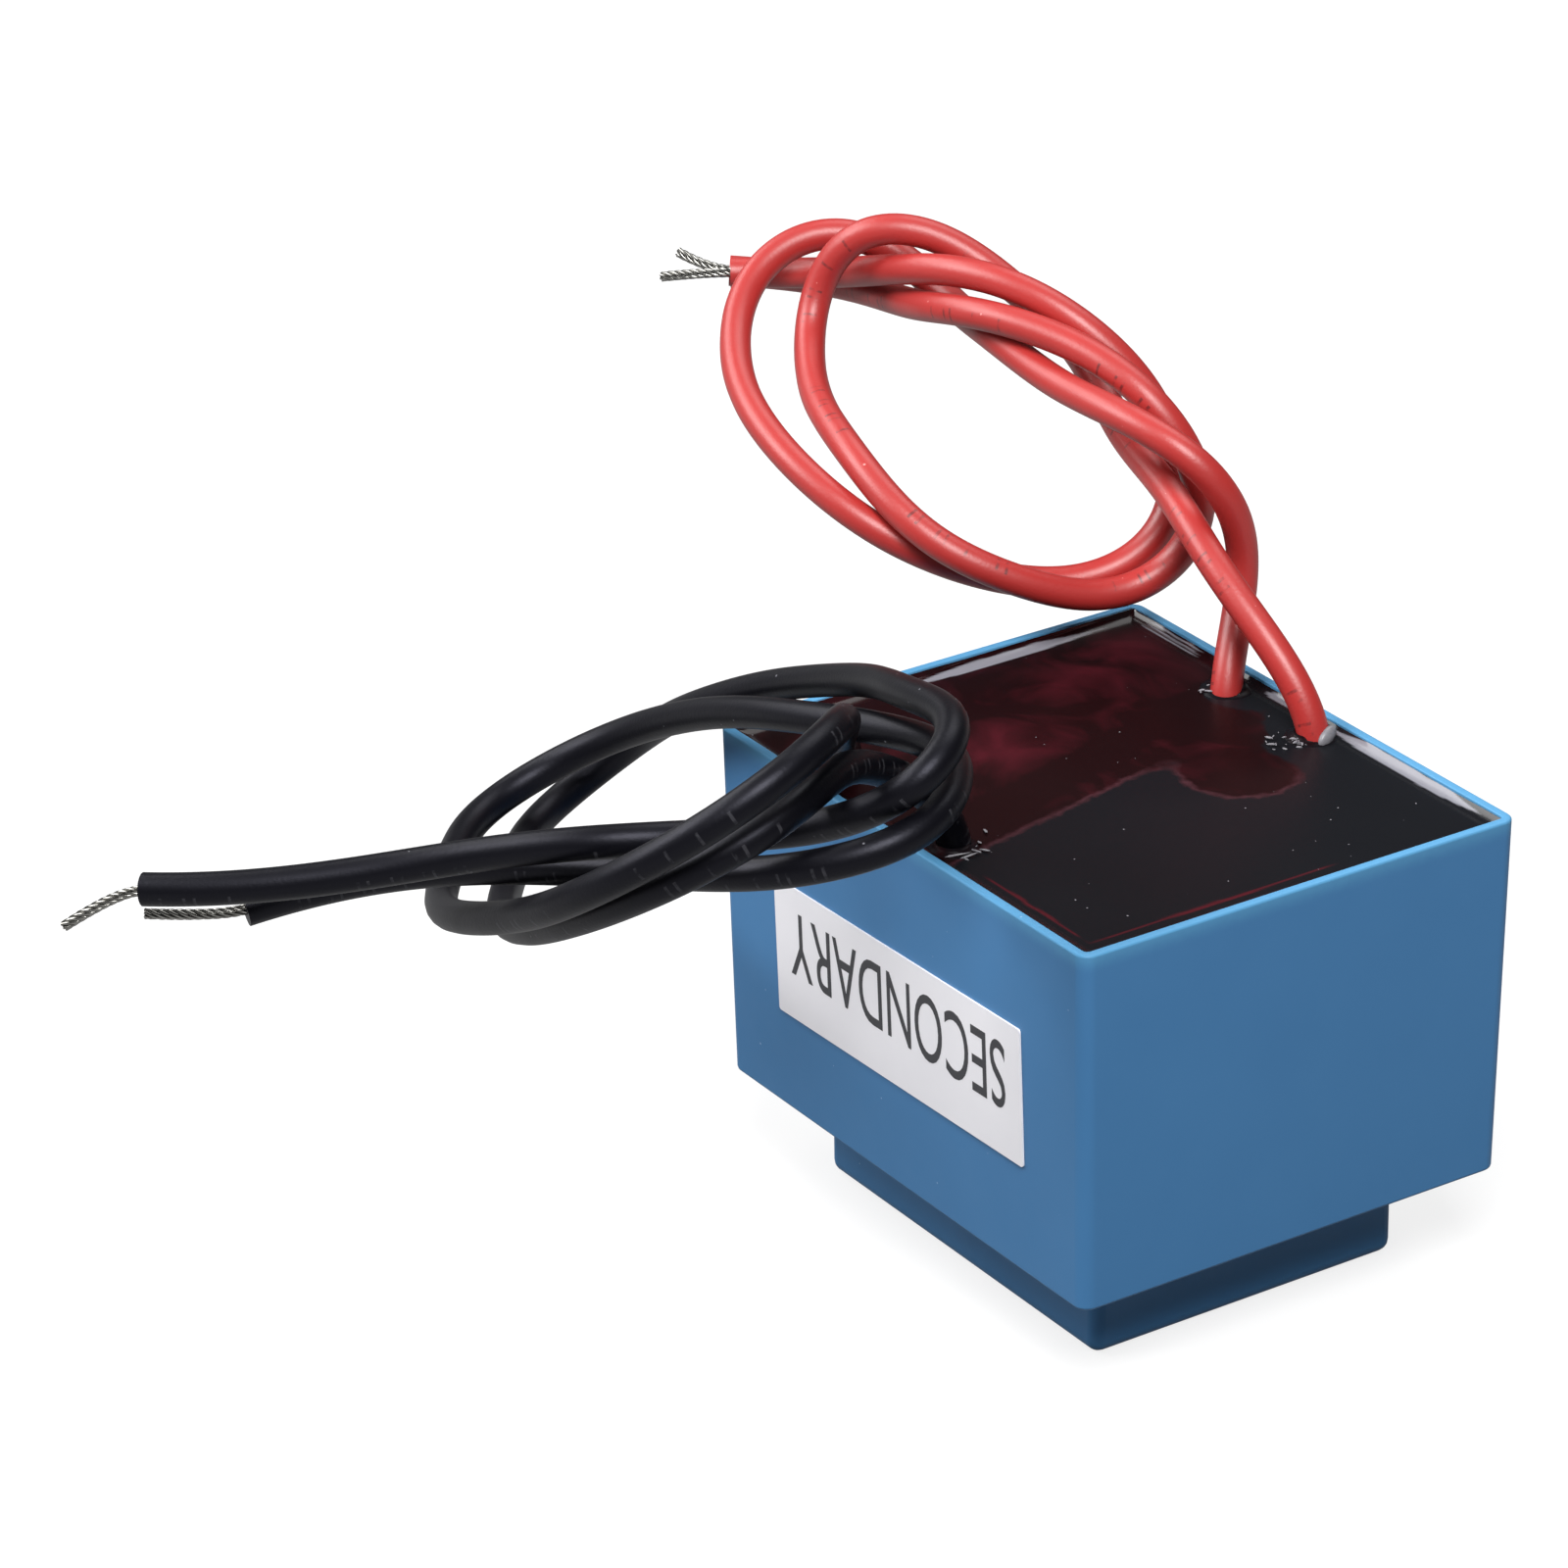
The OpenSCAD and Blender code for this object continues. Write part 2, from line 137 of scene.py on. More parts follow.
# Stripes beside the walls: the wall, where a stripe starts and ends along it, the taper at both of
# its ends, and the distances from the wall that it lies between.
# The first table's stripes are pale painted reflections: painted highlights of the lamps on the
# curved edge where the resin climbs the walls.
PAINTED_REFLECTIONS = (
    ("-X", -4, 15, 6, 0.3, 1.15), ("+Y", 2.5, 20, 4, 0.0, 0.7), ("+Y", -5, 1, 0.7, 0.1, 0.6),
    ("+Y", -20, -13, 1, 0.1, 0.2), ("+Y", -20, -13, 1, 0.35, 0.45), ("+Y", -20, -13, 1, 0.6, 0.7),
)
SEAMS = (("-Y", 7, 20, 5, 1.6, 1.9), ("+X", -16.5, 5, 8, 1.8, 2.15))
STRIPE_BLUR = 0.06
STRIPE_WANDER = 1.5
# The flat's slow waves: their height, their length and how far from the walls they start.
WAVE_HEIGHT = 0.05
WAVE_LENGTH = 9
WAVE_START = 3
# The climb at the walls is uneven: its mean share, how much that varies and over what length.
WET_SHARE = 0.9
WET_VARIES = 0.2
WET_LENGTH = 6
# The surface's grid, and how closely its lines crowd toward the walls.
GRID = (160, 140)
GRID_CROWDING = 1.8
# The gap that keeps the resin's mesh off the case's.
RESIN_GAP = 0.05
# A collar's profile on a lead: how far out from the insulation and how high above the flat.
COLLAR = ((0.02, -0.3), (0.02, 0.5), (0.12, 0.25), (0.4, 0.08), (1.0, -0.04), (1.0, -0.3))
# Loose slivers: where each lies, how long it is and which way it points in degrees.
SLIVERS = (
    ((-7.7, 14.4), 0.9, 20), ((-8.1, 14.1), 0.5, 60), ((3.9, -16.2), 1.9, 60),
    ((4.5, -15.5), 1.4, 80), ((4.1, -14.7), 1.3, 5), ((4.4, -14.1), 0.9, 20),
    ((3.2, -13.7), 0.7, 350), ((1.9, -12.3), 0.8, 340), ((1.2, 13.2), 0.8, 10),
    ((2.2, 12.7), 0.7, 40), ((-13.9, -12.2), 0.5, 0),
)
SLIVER_SECTION = (0.22, 0.14)
SLIVER_LIFT = 0.16
SLIVER_TILT = -9
# Heaps of crumbs: the middle of each, how far it spreads and how many crumbs it has. A crumb lies
# this turn further round its heap than the last, and is this many times as long as it is thick.
CRUMBS = (
    ((2.3, 13.7), 1.6, 12), ((2.9, 14.8), 0.7, 36), ((3.8, -15.3), 1.3, 8), ((-8.0, 14.6), 0.8, 3),
)
CRUMB_TURN = 2.4
CRUMB_STRETCH = 3
# The thinnest crumb, how much thicker the thickest is, and how high a heap stands.
CRUMB_LEAST = 0.06
CRUMB_GROWTH = 0.12
HEAP_HEIGHT = 0.2
# The bead of pale resin between the second red lead and the wall, a raised fillet whose pale grey is
# also a painted reflection of the lamps on it: its place from the lead, its size, and the degrees
# that it is turned and leans by.
BEAD_PLACE = (1.4, 0, 0.35)
BEAD_SIZE = (0.85, 2.1, 1.3)
BEAD_TURN = 20
# Half the thickness of the label's ink, and how high its middle lies on the paper.
INK_HALF = 0.004
INK_LIFT = 0.01

# The camera's place in millimetres and its axes, fitted to the case's edges in the photograph.
CAMERA_PLACE = (355.41, -259.54, 247.53)
CAMERA_AXES = ((0.5517, -0.3557, 0.7544), (0.8339, 0.2508, -0.4917), (-0.0143, 0.9003, 0.4350))
# The point that the lights face, in metres.
LIGHT_AIM = (0, 0, 0.03)


def linear(code):
    """The linear colour of an sRGB hex value, with alpha."""
    parts = [int(code[i : i + 2], 16) / 255 for i in (1, 3, 5)]
    light = [c / 12.92 if c <= 0.04045 else ((c + 0.055) / 1.055) ** 2.4 for c in parts]
    return (*light, 1.0)


def colour(name, code, description):
    """A colour property whose default is an sRGB hex value."""
    return FloatVectorProperty(
        name=name, description=description, subtype="COLOR", size=4, min=0, max=1,
        default=linear(code))


def length(name, millimetres, description):
    """A length property whose default is given in millimetres."""
    return FloatProperty(
        name=name, description=description, subtype="DISTANCE", unit="LENGTH", min=0,
        precision=5, default=millimetres * MM)


def angle(name, degrees, description):
    """An angle property whose default is given in degrees."""
    return FloatProperty(
        name=name, description=description, subtype="ANGLE", unit="ROTATION",
        default=math.radians(degrees))


def power(name, watts, description):
    """A light's power property."""
    return FloatProperty(name=name, description=description, unit="POWER", default=watts)


# Materials

def per(millimetres):
    """The texture scale, in metres of Object coordinates, whose pattern repeats at this size."""
    return 1 / (millimetres * MM)


def wire(tree, node, links):
    """Sets a node's sockets, or links other sockets or the first outputs of other nodes to them."""
    for socket, value in links.items():
        if isinstance(value, bpy.types.Node):
            value = next(output for output in value.outputs if output.enabled)
        if isinstance(value, bpy.types.NodeSocket):
            tree.links.new(value, node.inputs[socket])
        else:
            node.inputs[socket].default_value = value


def add(tree, kind, links=None, **settings):
    """Adds a node with its settings, its sockets' values and the links into it."""
    made = tree.nodes.new("ShaderNode" + kind)
    for key, value in settings.items():
        setattr(made, key, value)
    wire(tree, made, links or {})
    return made


def start_material(name, **sockets):
    """A new material with its tree and its main shader, whose plain sockets are set here."""
    material = bpy.data.materials.new(name)
    material.use_nodes = True
    tree = material.node_tree
    shader = tree.nodes["Principled BSDF"]
    for socket, value in sockets.items():
        shader.inputs[socket.replace("_", " ")].default_value = value
    return material, tree, shader


def dusted(tree, place, body, dust, spacing, size):
    """Mixes specks of dust, of this spacing and size in millimetres, into a body colour."""
    motes = add(tree, "TexVoronoi", {"Vector": place, "Scale": per(spacing)})
    reach = add(tree, "Math", {0: motes.outputs["Color"], 1: size / spacing}, operation="MULTIPLY")
    speck = add(tree, "Math", {0: motes, 1: reach}, operation="LESS_THAN")
    return add(tree, "Mix", {"Factor": speck, "A": body, "B": dust}, data_type="RGBA")


def blue_abs(p):
    """ABS from a polished mould: an even mid blue with a paler painted highlight along the top of
    the rim, standing in for light caught on the rim and glowing through the thin wall, a satin skin
    with faint moulding haze, a few scuffs and specks of dust. The haze is drawn at 0.25 mm, coarser
    than the real one, so that it shows."""
    material, tree, shader = start_material("moulded_blue_abs", IOR=1.53, Specular_IOR_Level=0.2)
    place = add(tree, "TexCoord").outputs["Object"]
    cloud = add(tree, "TexNoise", {"Vector": place, "Scale": per(9), "Detail": 3.0})
    body = add(tree, "Mix", {"Factor": cloud, "A": p.blue, "B": p.blue_deep}, data_type="RGBA")
    height = add(tree, "SeparateXYZ", {"Vector": place}).outputs["Z"]
    # Painted highlight: the top of the rim is painted paler, standing in for the lamps' highlight on
    # it and for light glowing through the thin wall. Noise makes the painted band's lower edge
    # uneven.
    rim_light_wobble = add(tree, "TexNoise", {"Vector": place, "Scale": per(0.7), "Detail": 3.0})
    edge = add(tree, "Math", {0: rim_light_wobble, 1: 0.3 * MM, 2: height}, operation="MULTIPLY_ADD")
    thin = add(tree, "MapRange", {
        "Value": edge, "From Min": case_high.z - 1.3 * MM,
        "From Max": case_high.z + 0.3 * MM}, interpolation_type="SMOOTHSTEP")
    rim = add(tree, "Mix", {"Factor": thin, "A": body, "B": p.painted_rim_light}, data_type="RGBA")
    dusty = dusted(tree, place, rim, p.dust, spacing=2.6, size=0.1)
    scuff = add(tree, "TexNoise", {"Vector": place, "Scale": per(2.5), "Detail": 6.0})
    satin = add(tree, "MapRange", {"Value": scuff, "To Min": 0.4, "To Max": 0.52})
    grain = add(tree, "TexNoise", {"Vector": place, "Scale": per(0.25), "Detail": 2.0})
    bump = add(tree, "Bump", {"Height": grain, "Strength": 0.12, "Distance": 0.01 * MM})
    wire(tree, shader, {"Base Color": dusty, "Roughness": satin, "Normal": bump})
    return material


def epoxy(p):
    """Cast epoxy: black and glossy like still liquid, wine red where the first pour shows, with a
    pinkish tide line between the two, a thin red seam along the near walls and pale dust caught in
    the surface. The flat has dulled; the edge that climbs the walls stays bright, with pale painted
    reflections standing in for the lamps' highlights on the curved edge of the two far walls. The
    dust is drawn larger than real, so that it shows."""
    material, tree, shader = start_material("cast_epoxy_resin", IOR=1.52)
    place = add(tree, "TexCoord").outputs["Object"]
    tide = add(tree, "Attribute", attribute_name="tide").outputs["Fac"]
    fray = add(tree, "TexNoise", {"Vector": place, "Scale": per(1.1), "Detail": 6.0})
    ragged = add(tree, "Math", {0: fray, 1: 1.2, 2: tide}, operation="MULTIPLY_ADD")
    wine = add(tree, "MapRange", {
        "Value": ragged, "From Min": 0.4, "From Max": 1.0}, interpolation_type="SMOOTHSTEP")
    smoke = add(tree, "TexNoise", {
        "Vector": place, "Scale": per(6), "Detail": 3.0, "Distortion": 1.2})
    pour = add(tree, "Attribute", attribute_name="pour").outputs["Fac"]
    thick = add(tree, "Math", {0: smoke, 1: pour}, operation="ADD")
    clear = add(tree, "MapRange", {"Value": thick, "From Min": 0.52, "From Max": 0.95})
    depth = add(tree, "Mix", {"Factor": clear, "A": p.wine_deep, "B": p.wine}, data_type="RGBA")
    body = add(tree, "Mix", {"Factor": wine, "A": p.black, "B": depth}, data_type="RGBA")
    near = add(tree, "Math", {0: ragged, 1: 0.85}, operation="SUBTRACT")
    close = add(tree, "Math", {0: near}, operation="ABSOLUTE")
    line = add(tree, "MapRange", {
        "Value": close, "From Min": 0.0, "From Max": 0.4, "To Min": 1.0, "To Max": 0.0})
    shore = add(tree, "Attribute", attribute_name="shore").outputs["Fac"]
    scratch = add(tree, "TexNoise", {"Vector": place, "Scale": per(0.8), "Detail": 6.0})
    broken = add(tree, "Math", {0: scratch, 1: shore}, operation="MULTIPLY")
    drawn = add(tree, "Math", {0: line, 1: broken}, operation="MULTIPLY")
    edged = add(tree, "Mix", {"Factor": drawn, "A": body, "B": p.tide}, data_type="RGBA")
    # Painted reflection: pale stripes on the curved edge stand in for the lamps' highlights there.
    painted_reflection = add(tree, "Attribute", attribute_name="painted_reflection").outputs["Fac"]
    seam = add(tree, "Attribute", attribute_name="seam").outputs["Fac"]
    seamed = add(tree, "Mix", {"Factor": seam, "A": edged, "B": p.seam}, data_type="RGBA")
    pale = add(tree, "Mix", {"Factor": painted_reflection, "A": seamed, "B": p.painted_reflection}, data_type="RGBA")
    dusty = dusted(tree, place, pale, p.dust, spacing=1.3, size=0.08)
    edge = add(tree, "Attribute", attribute_name="edge").outputs["Fac"]
    for socket, flat, bright in (("Roughness", 0.3, 0.08), ("Specular IOR Level", 0.05, 0.5)):
        shine = add(tree, "MapRange", {"Value": edge, "To Min": flat, "To Max": bright})
        wire(tree, shader, {socket: shine})
    ripple = add(tree, "TexNoise", {"Vector": place, "Scale": per(5), "Detail": 1.0})
    bump = add(tree, "Bump", {"Height": ripple, "Strength": 0.25, "Distance": 0.12 * MM})
    wire(tree, shader, {"Base Color": dusty, "Normal": bump})
    return material


def insulation(name, skin, shade, ink, dust, strength, gloss, rough, tint=(1, 1, 1, 1)):
    """Extruded PVC: a soft satin skin with a fine orange peel, dust, and a row of faint ink ticks
    along one side. The ticks are 2.4 mm apart and 1.1 mm tall, single or in pairs, with a gap after
    every few. The dust is drawn larger than real, so that it shows."""
    material, tree, shader = start_material(
        name, IOR=1.53, Specular_IOR_Level=gloss, Specular_Tint=tint)
    map_to = add(tree, "TexCoord").outputs
    place = map_to["Object"]
    run = add(tree, "SeparateXYZ", {"Vector": map_to["UV"]})
    cloud = add(tree, "TexNoise", {"Vector": place, "Scale": per(4), "Detail": 4.0})
    body = add(tree, "Mix", {"Factor": cloud, "A": skin, "B": shade}, data_type="RGBA")
    step = add(tree, "Math", {0: run.outputs["X"], 1: 2.4}, operation="DIVIDE")
    cell = add(tree, "Math", {0: step}, operation="FLOOR")
    dice = add(tree, "TexWhiteNoise", {"W": cell}, noise_dimensions="1D")
    found = {"step": step, "cell": cell, "dice": dice, "around": run.outputs["Y"]}
    for mark, operation, *terms in (
            ("inside", "FRACT", "step"),
            ("within", "COMPARE", "around", 0.5, 0.073),
            ("first", "COMPARE", "inside", 0.3, 0.045),
            ("second", "COMPARE", "inside", 0.6, 0.045),
            ("two", "GREATER_THAN", "dice", 0.5),
            ("paired", "MULTIPLY", "second", "two"),
            ("strokes", "MAXIMUM", "first", "paired"),
            ("ticks", "MULTIPLY", "strokes", "within"),
            ("beat", "MULTIPLY", "cell", 0.9),
            ("rhythm", "SINE", "beat"),
            ("word", "GREATER_THAN", "rhythm", -0.35),
            ("marks", "MULTIPLY", "ticks", "word")):
        links = {i: found.get(term, term) for i, term in enumerate(terms)}
        found[mark] = add(tree, "Math", links, operation=operation)
    worn = add(tree, "TexNoise", {"Vector": place, "Scale": per(0.7), "Detail": 3.0})
    left = add(tree, "MapRange", {
        "Value": worn, "From Min": 0.4, "From Max": 0.6, "To Max": strength})
    inked = add(tree, "Math", {0: found["marks"], 1: left}, operation="MULTIPLY")
    printed = add(tree, "Mix", {"Factor": inked, "A": body, "B": ink}, data_type="RGBA")
    dusty = dusted(tree, place, printed, dust, spacing=1.8, size=0.12)
    satin = add(tree, "MapRange", {"Value": cloud, "To Min": rough, "To Max": rough + 0.1})
    peel = add(tree, "TexNoise", {"Vector": place, "Scale": per(0.25), "Detail": 3.0})
    bump = add(tree, "Bump", {"Height": peel, "Strength": 0.5, "Distance": 0.03 * MM})
    wire(tree, shader, {"Base Color": dusty, "Roughness": satin, "Normal": bump})
    return material


def tinned_copper(p):
    """Tinned copper strands: bright grey metal, dulled in patches where it was handled."""
    material, tree, shader = start_material("tinned_copper", Metallic=1.0)
    place = add(tree, "TexCoord").outputs["Object"]
    patch = add(tree, "TexNoise", {"Vector": place, "Scale": per(0.9), "Detail": 3.0})
    body = add(tree, "Mix", {"Factor": patch, "A": p.tin, "B": p.tin_dull}, data_type="RGBA")
    dull = add(tree, "MapRange", {"Value": patch, "To Min": 0.14, "To Max": 0.3})
    wire(tree, shader, {"Base Color": body, "Roughness": dull})
    return material


def label_film(p):
    """Coated label paper: a cool white sheet with a weak sheen, faint fibres and handling smudges.
    The fibres are drawn at 0.3 mm, coarser than real ones, so that they show."""
    material, tree, shader = start_material("coated_label_paper", IOR=1.48)
    place = add(tree, "TexCoord").outputs["Object"]
    smudge = add(tree, "TexNoise", {"Vector": place, "Scale": per(6), "Detail": 4.0})
    body = add(tree, "Mix", {"Factor": smudge, "A": p.paper, "B": p.paper_shade}, data_type="RGBA")
    fibre = add(tree, "TexNoise", {"Vector": place, "Scale": per(0.3), "Detail": 4.0})
    sheen = add(tree, "MapRange", {"Value": fibre, "To Min": 0.42, "To Max": 0.58})
    bump = add(tree, "Bump", {"Height": fibre, "Strength": 0.1, "Distance": 0.01 * MM})
    wire(tree, shader, {"Base Color": body, "Roughness": sheen, "Normal": bump})
    return material


def speckled(name, first, second, grain, rough, **sockets):
    """A finish of two close colours in small patches, for ink, flakes and the pieces inside."""
    material, tree, shader = start_material(name, Roughness=rough, **sockets)
    place = add(tree, "TexCoord").outputs["Object"]
    patch = add(tree, "TexNoise", {"Vector": place, "Scale": per(grain), "Detail": 4.0})
    body = add(tree, "Mix", {
        "Factor": patch, "A": linear(first), "B": linear(second)},
        data_type="RGBA")
    wire(tree, shader, {"Base Color": body})
    return material


def laminated_steel():
    """Stacked silicon steel sheets: grey metal ruled with dark lines every half millimetre. The wave
    texture turns 20 radians for each unit of its scale."""
    material, tree, shader = start_material("silicon_steel_sheets", Metallic=1.0, Roughness=0.45)
    place = add(tree, "TexCoord").outputs["Object"]
    sheets = add(tree, "TexWave", {
        "Vector": place, "Scale": per(0.5) * math.tau / 20, "Distortion": 0.0},
        bands_direction="Z")
    body = add(tree, "Mix", {
        "Factor": sheets.outputs["Fac"], "A": linear("#3C3D40"), "B": linear("#8C8E90")},
        data_type="RGBA")
    wire(tree, shader, {"Base Color": body})
    return material


# Making pieces

def put(name, data):
    """Adds an object with this data to the scene."""
    made = bpy.data.objects.new(name, data)
    bpy.context.scene.collection.objects.link(made)
    return made


def place_piece(name, mesh, material, replaces=()):
    """Adds a mesh as a piece of the object, with its finish and the nodes that it replaces."""
    mesh.materials.clear()
    mesh.materials.append(material)
    piece = put(name, mesh)
    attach(piece, "root")
    if replaces:
        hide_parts(*replaces)
    return piece


def to_mesh(bm, name, smooth=True):
    """Turns a bmesh in millimetres into a mesh in metres."""
    bmesh.ops.scale(bm, vec=(MM, MM, MM), verts=bm.verts)
    for face in bm.faces:
        face.smooth = smooth
    mesh = bpy.data.meshes.new(name)
    bm.to_mesh(mesh)
    bm.free()
    return mesh


def rough_line(points, steps):
    """A first line through a lead's points, with this many steps from each point to the next."""
    curve = bpy.data.curves.new("rough", "CURVE")
    spline = curve.splines.new("BEZIER")
    spline.bezier_points.add(len(points) - 1)
    for knot, at in zip(spline.bezier_points, points):
        knot.co = at
        knot.handle_left_type = knot.handle_right_type = "AUTO"
    holder = put("rough", curve)
    bpy.context.view_layer.update()
    knots = spline.bezier_points
    rough = [knots[0].co.copy()]
    for a, b in zip(knots, knots[1:]):
        rough += interpolate_bezier(a.co, a.handle_right, b.handle_left, b.co, steps + 1)[1:]
    bpy.data.objects.remove(holder)
    bpy.data.curves.remove(curve)
    return rough


def distances(line):
    """How far along a line each of its points lies."""
    return np.concatenate([[0], np.cumsum([(b - a).length for a, b in zip(line, line[1:])])])


def eased(
        points, steps=8, spacing=0.5, stiffness=500.0, slack=0.3, long_span=14.0, fixed=3, firm=200):
    """A line through a lead's points in millimetres that bends evenly, as springy wire does: it may
    leave a point by the slack where that makes the bend smoother, but not one of the first few.
    A long span is held in its middle too."""
    rough = rough_line(points, steps)
    runs = distances(rough)
    count = round(runs[-1] / spacing) + 1
    gap = runs[-1] / (count - 1)
    held = [(k * steps, firm if k < fixed else 1) for k in range(len(points))]
    held += [
        (k * steps + steps // 2, 1) for k in range(len(points) - 1)
        if runs[(k + 1) * steps] - runs[k * steps] > long_span]
    third = np.zeros((count - 3, count))
    for i in range(count - 3):
        third[i, i : i + 4] = (-1, 3, -3, 1)
    sums = stiffness / gap**5 * third.T @ third
    goal = np.zeros((count, 3))
    for index, weight in held:
        at = min(runs[index] / gap, count - 1.000001)
        share = np.zeros(count)
        share[int(at)], share[int(at) + 1] = 1 - at % 1, at % 1
        sums += weight / slack**2 * np.outer(share, share)
        goal += weight / slack**2 * np.outer(share, rough[index])
    return [Vector(row) for row in np.linalg.solve(sums, goal)]


def curve_mesh(curve):
    """Turns a curve or a text into a mesh."""
    holder = put(curve.name, curve)
    graph = bpy.context.evaluated_depsgraph_get()
    mesh = bpy.data.meshes.new_from_object(holder.evaluated_get(graph), depsgraph=graph)
    bpy.data.objects.remove(holder)
    bpy.data.curves.remove(curve)
    return mesh


def swept(name, lines, radius, rounding):
    """A mesh of round tubes along lines of points in millimetres, made by a bevelled curve."""
    curve = bpy.data.curves.new(name, "CURVE")
    curve.dimensions = "3D"
    curve.bevel_depth = radius * MM
    curve.bevel_resolution = rounding
    curve.use_fill_caps = True
    for line in lines:
        spline = curve.splines.new("POLY")
        spline.points.add(len(line) - 1)
        for point, at in zip(spline.points, line):
            point.co = (*(Vector(at) * MM), 1.0)
    mesh = curve_mesh(curve)
    for face in mesh.polygons:
        face.use_smooth = len(face.vertices) == 4
    return mesh


def measure_along(mesh, line):
    """Makes the tube's U the distance along it in millimetres instead of the step's number, and
    keeps the cut ends off the side that the ticks are on."""
    runs = distances(line)
    layer = mesh.uv_layers[0].data
    for face in mesh.polygons:
        for loop in face.loop_indices:
            if len(face.vertices) == 4:
                layer[loop].uv.x = runs[round(layer[loop].uv.x * (len(runs) - 1))]
            else:
                layer[loop].uv = (-9.0, 0.0)


def lead_points(name):
    """A lead's whole route in millimetres, from the joint below the resin to its cut end."""
    leave, steps, _ = LEADS[name]
    return [Vector(leave) + Vector(s) for s in [(0, 0, -LEAD_IN), *steps]]


def twisted(path, count, thick, pitch=3.8):
    """The lines of strands that wind round a path, one along its middle and the rest about it."""
    lines = [[] for _ in range(count)]
    side = Vector((0, 0, 1))
    for i, (at, run) in enumerate(zip(path, distances(path))):
        ahead = (path[min(i + 1, len(path) - 1)] - path[max(i - 1, 0)]).normalized()
        side = (side - ahead * side.dot(ahead)).normalized()
        other = ahead.cross(side)
        lines[0].append(at)
        for k in range(1, count):
            a = math.tau * (k / (count - 1) + run / pitch)
            lines[k].append(at + (side * math.cos(a) + other * math.sin(a)) * thick)
    return lines


# Sizes and colours

class LeadSizes(bpy.types.PropertyGroup):
    """Sizes and colours of the leads."""

    diameter: length("Diameter", 2.4, "Diameter over the insulation")
    strand: length("Strand", 0.27, "Diameter of one bare strand")
    red: colour("Red", "#B22F2C", "Colour of the red insulation")
    red_shade: colour("Red shade", "#A62826", "Darker patches in the red insulation")
    red_ink: colour("Red lead's ink", "#4A1719", "Ink ticks on the red leads")
    red_dust: colour("Red lead's dust", "#D98784", "Dust on the red leads")
    black: colour("Black", "#08080D", "Colour of the black insulation")
    black_shade: colour("Black shade", "#050509", "Darker patches in the black insulation")
    black_sheen: colour("Black sheen", "#EBEBFF", "Tint of the black insulation's highlights")
    black_ink: colour("Black lead's ink", "#66666C", "Ink ticks on the black leads")
    black_dust: colour("Black lead's dust", "#6A6A70", "Dust on the black leads")
    tin: colour("Tin", "#B4B3AF", "Colour of the tinned strands")
    tin_dull: colour("Dull tin", "#55534D", "Handled patches of the strands")
    strands: IntProperty(name="Strands", description="Strands in a bare end", default=7, min=3)


class CaseSizes(bpy.types.PropertyGroup):
    """Sizes and colours of the case."""

    wall: length("Wall", 0.75, "Thickness of the side walls at the rim")
    floor: length("Floor", 1.2, "Thickness of the step's floor and of the ledge")
    ledge: length("Ledge", 7.8, "Height of the ledge above the step's bottom")
    step_width: length("Step width", 33.8, "Length of the step along X")
    step_depth: length("Step depth", 26.8, "Length of the step along Y")
    step_wall: length("Step wall", 1.2, "Thickness of the step's walls")
    draft: angle("Draft", 0.9, "Lean of the walls that lets the case leave its mould")
    corner: length("Corner", 1.1, "Radius of the box's upright edges")
    foot: length("Foot", 0.3, "Radius of the box's lower edges")
    step_corner: length("Step corner", 1.0, "Radius of the step's outer edges")
    rim: length("Rim", 0.2, "Radius of the rim's outer edge")
    blue: colour("Blue", "#477CAC", "Main blue of the plastic")
    blue_deep: colour("Deep blue", "#4276A6", "Deeper blue of the faint clouds in it")
    # Painted highlight: the paler rim blue stands in for light caught on the rim top and glowing
    # through the thin wall.
    painted_rim_light: colour("Rim blue", "#5492BC", "Paler blue of the thin rim")
    dust: colour("Dust", "#86A9C9", "Specks of dust on the plastic")


class ResinSizes(bpy.types.PropertyGroup):
    """Sizes and colours of the resin."""

    level: length("Level", 35.2, "Height of the resin's flat surface")
    meniscus: length("Meniscus", 1.5, "Radius of the curved edge at the walls")
    climb: length("Climb", 0.6, "Height that the resin climbs the walls")
    black: colour("Black", "#121317", "Body colour of the black resin")
    wine: colour("Wine", "#3E1119", "Body colour of the red resin")
    wine_deep: colour("Deep wine", "#170709", "Thicker patches of the red resin")
    tide: colour("Tide line", "#4A2C33", "Line between the two")
    dust: colour("Dust", "#8C8A90", "Specks of dust on the surface")
    seam: colour("Seam", "#48141C", "Red line along the near walls, where the first pour shows")
    # Painted reflection: this pale grey stands in for the lamps' highlights on the curved edge of
    # the far walls.
    painted_reflection: colour("Bloom", "#7C7C84", "Pale bloom on the curved edge of the far walls")


class LabelSizes(bpy.types.PropertyGroup):
    """Sizes, words and colours of the label."""

    width: length("Width", 30.8, "Width of the label")
    height: length("Height", 10.8, "Height of the label")
    thickness: length("Thickness", 0.13, "Thickness of the paper")
    corner: length("Corner", 0.25, "Radius of the paper's corners")
    glue: length("Glue", 0.02, "Gap between the paper and the case")
    drop: length("Drop", 14.4, "How far the label's middle lies below the rim")
    lean: angle("Lean", 1.25, "How far the label was stuck on askew")
    words: StringProperty(
        name="Words", description="Plain marking on the label", default="SECONDARY")
    words_width: length("Words' width", 27.0, "Width of the marking")
    words_height: length("Words' height", 5.3, "Height of the marking")
    words_rise: length("Words' rise", 0.9, "How far the marking lies above the label's middle")
    paper: colour("Paper", "#F2F1F5", "White of the label")
    paper_shade: colour("Paper shade", "#E8E7EC", "Handled patches of the label")


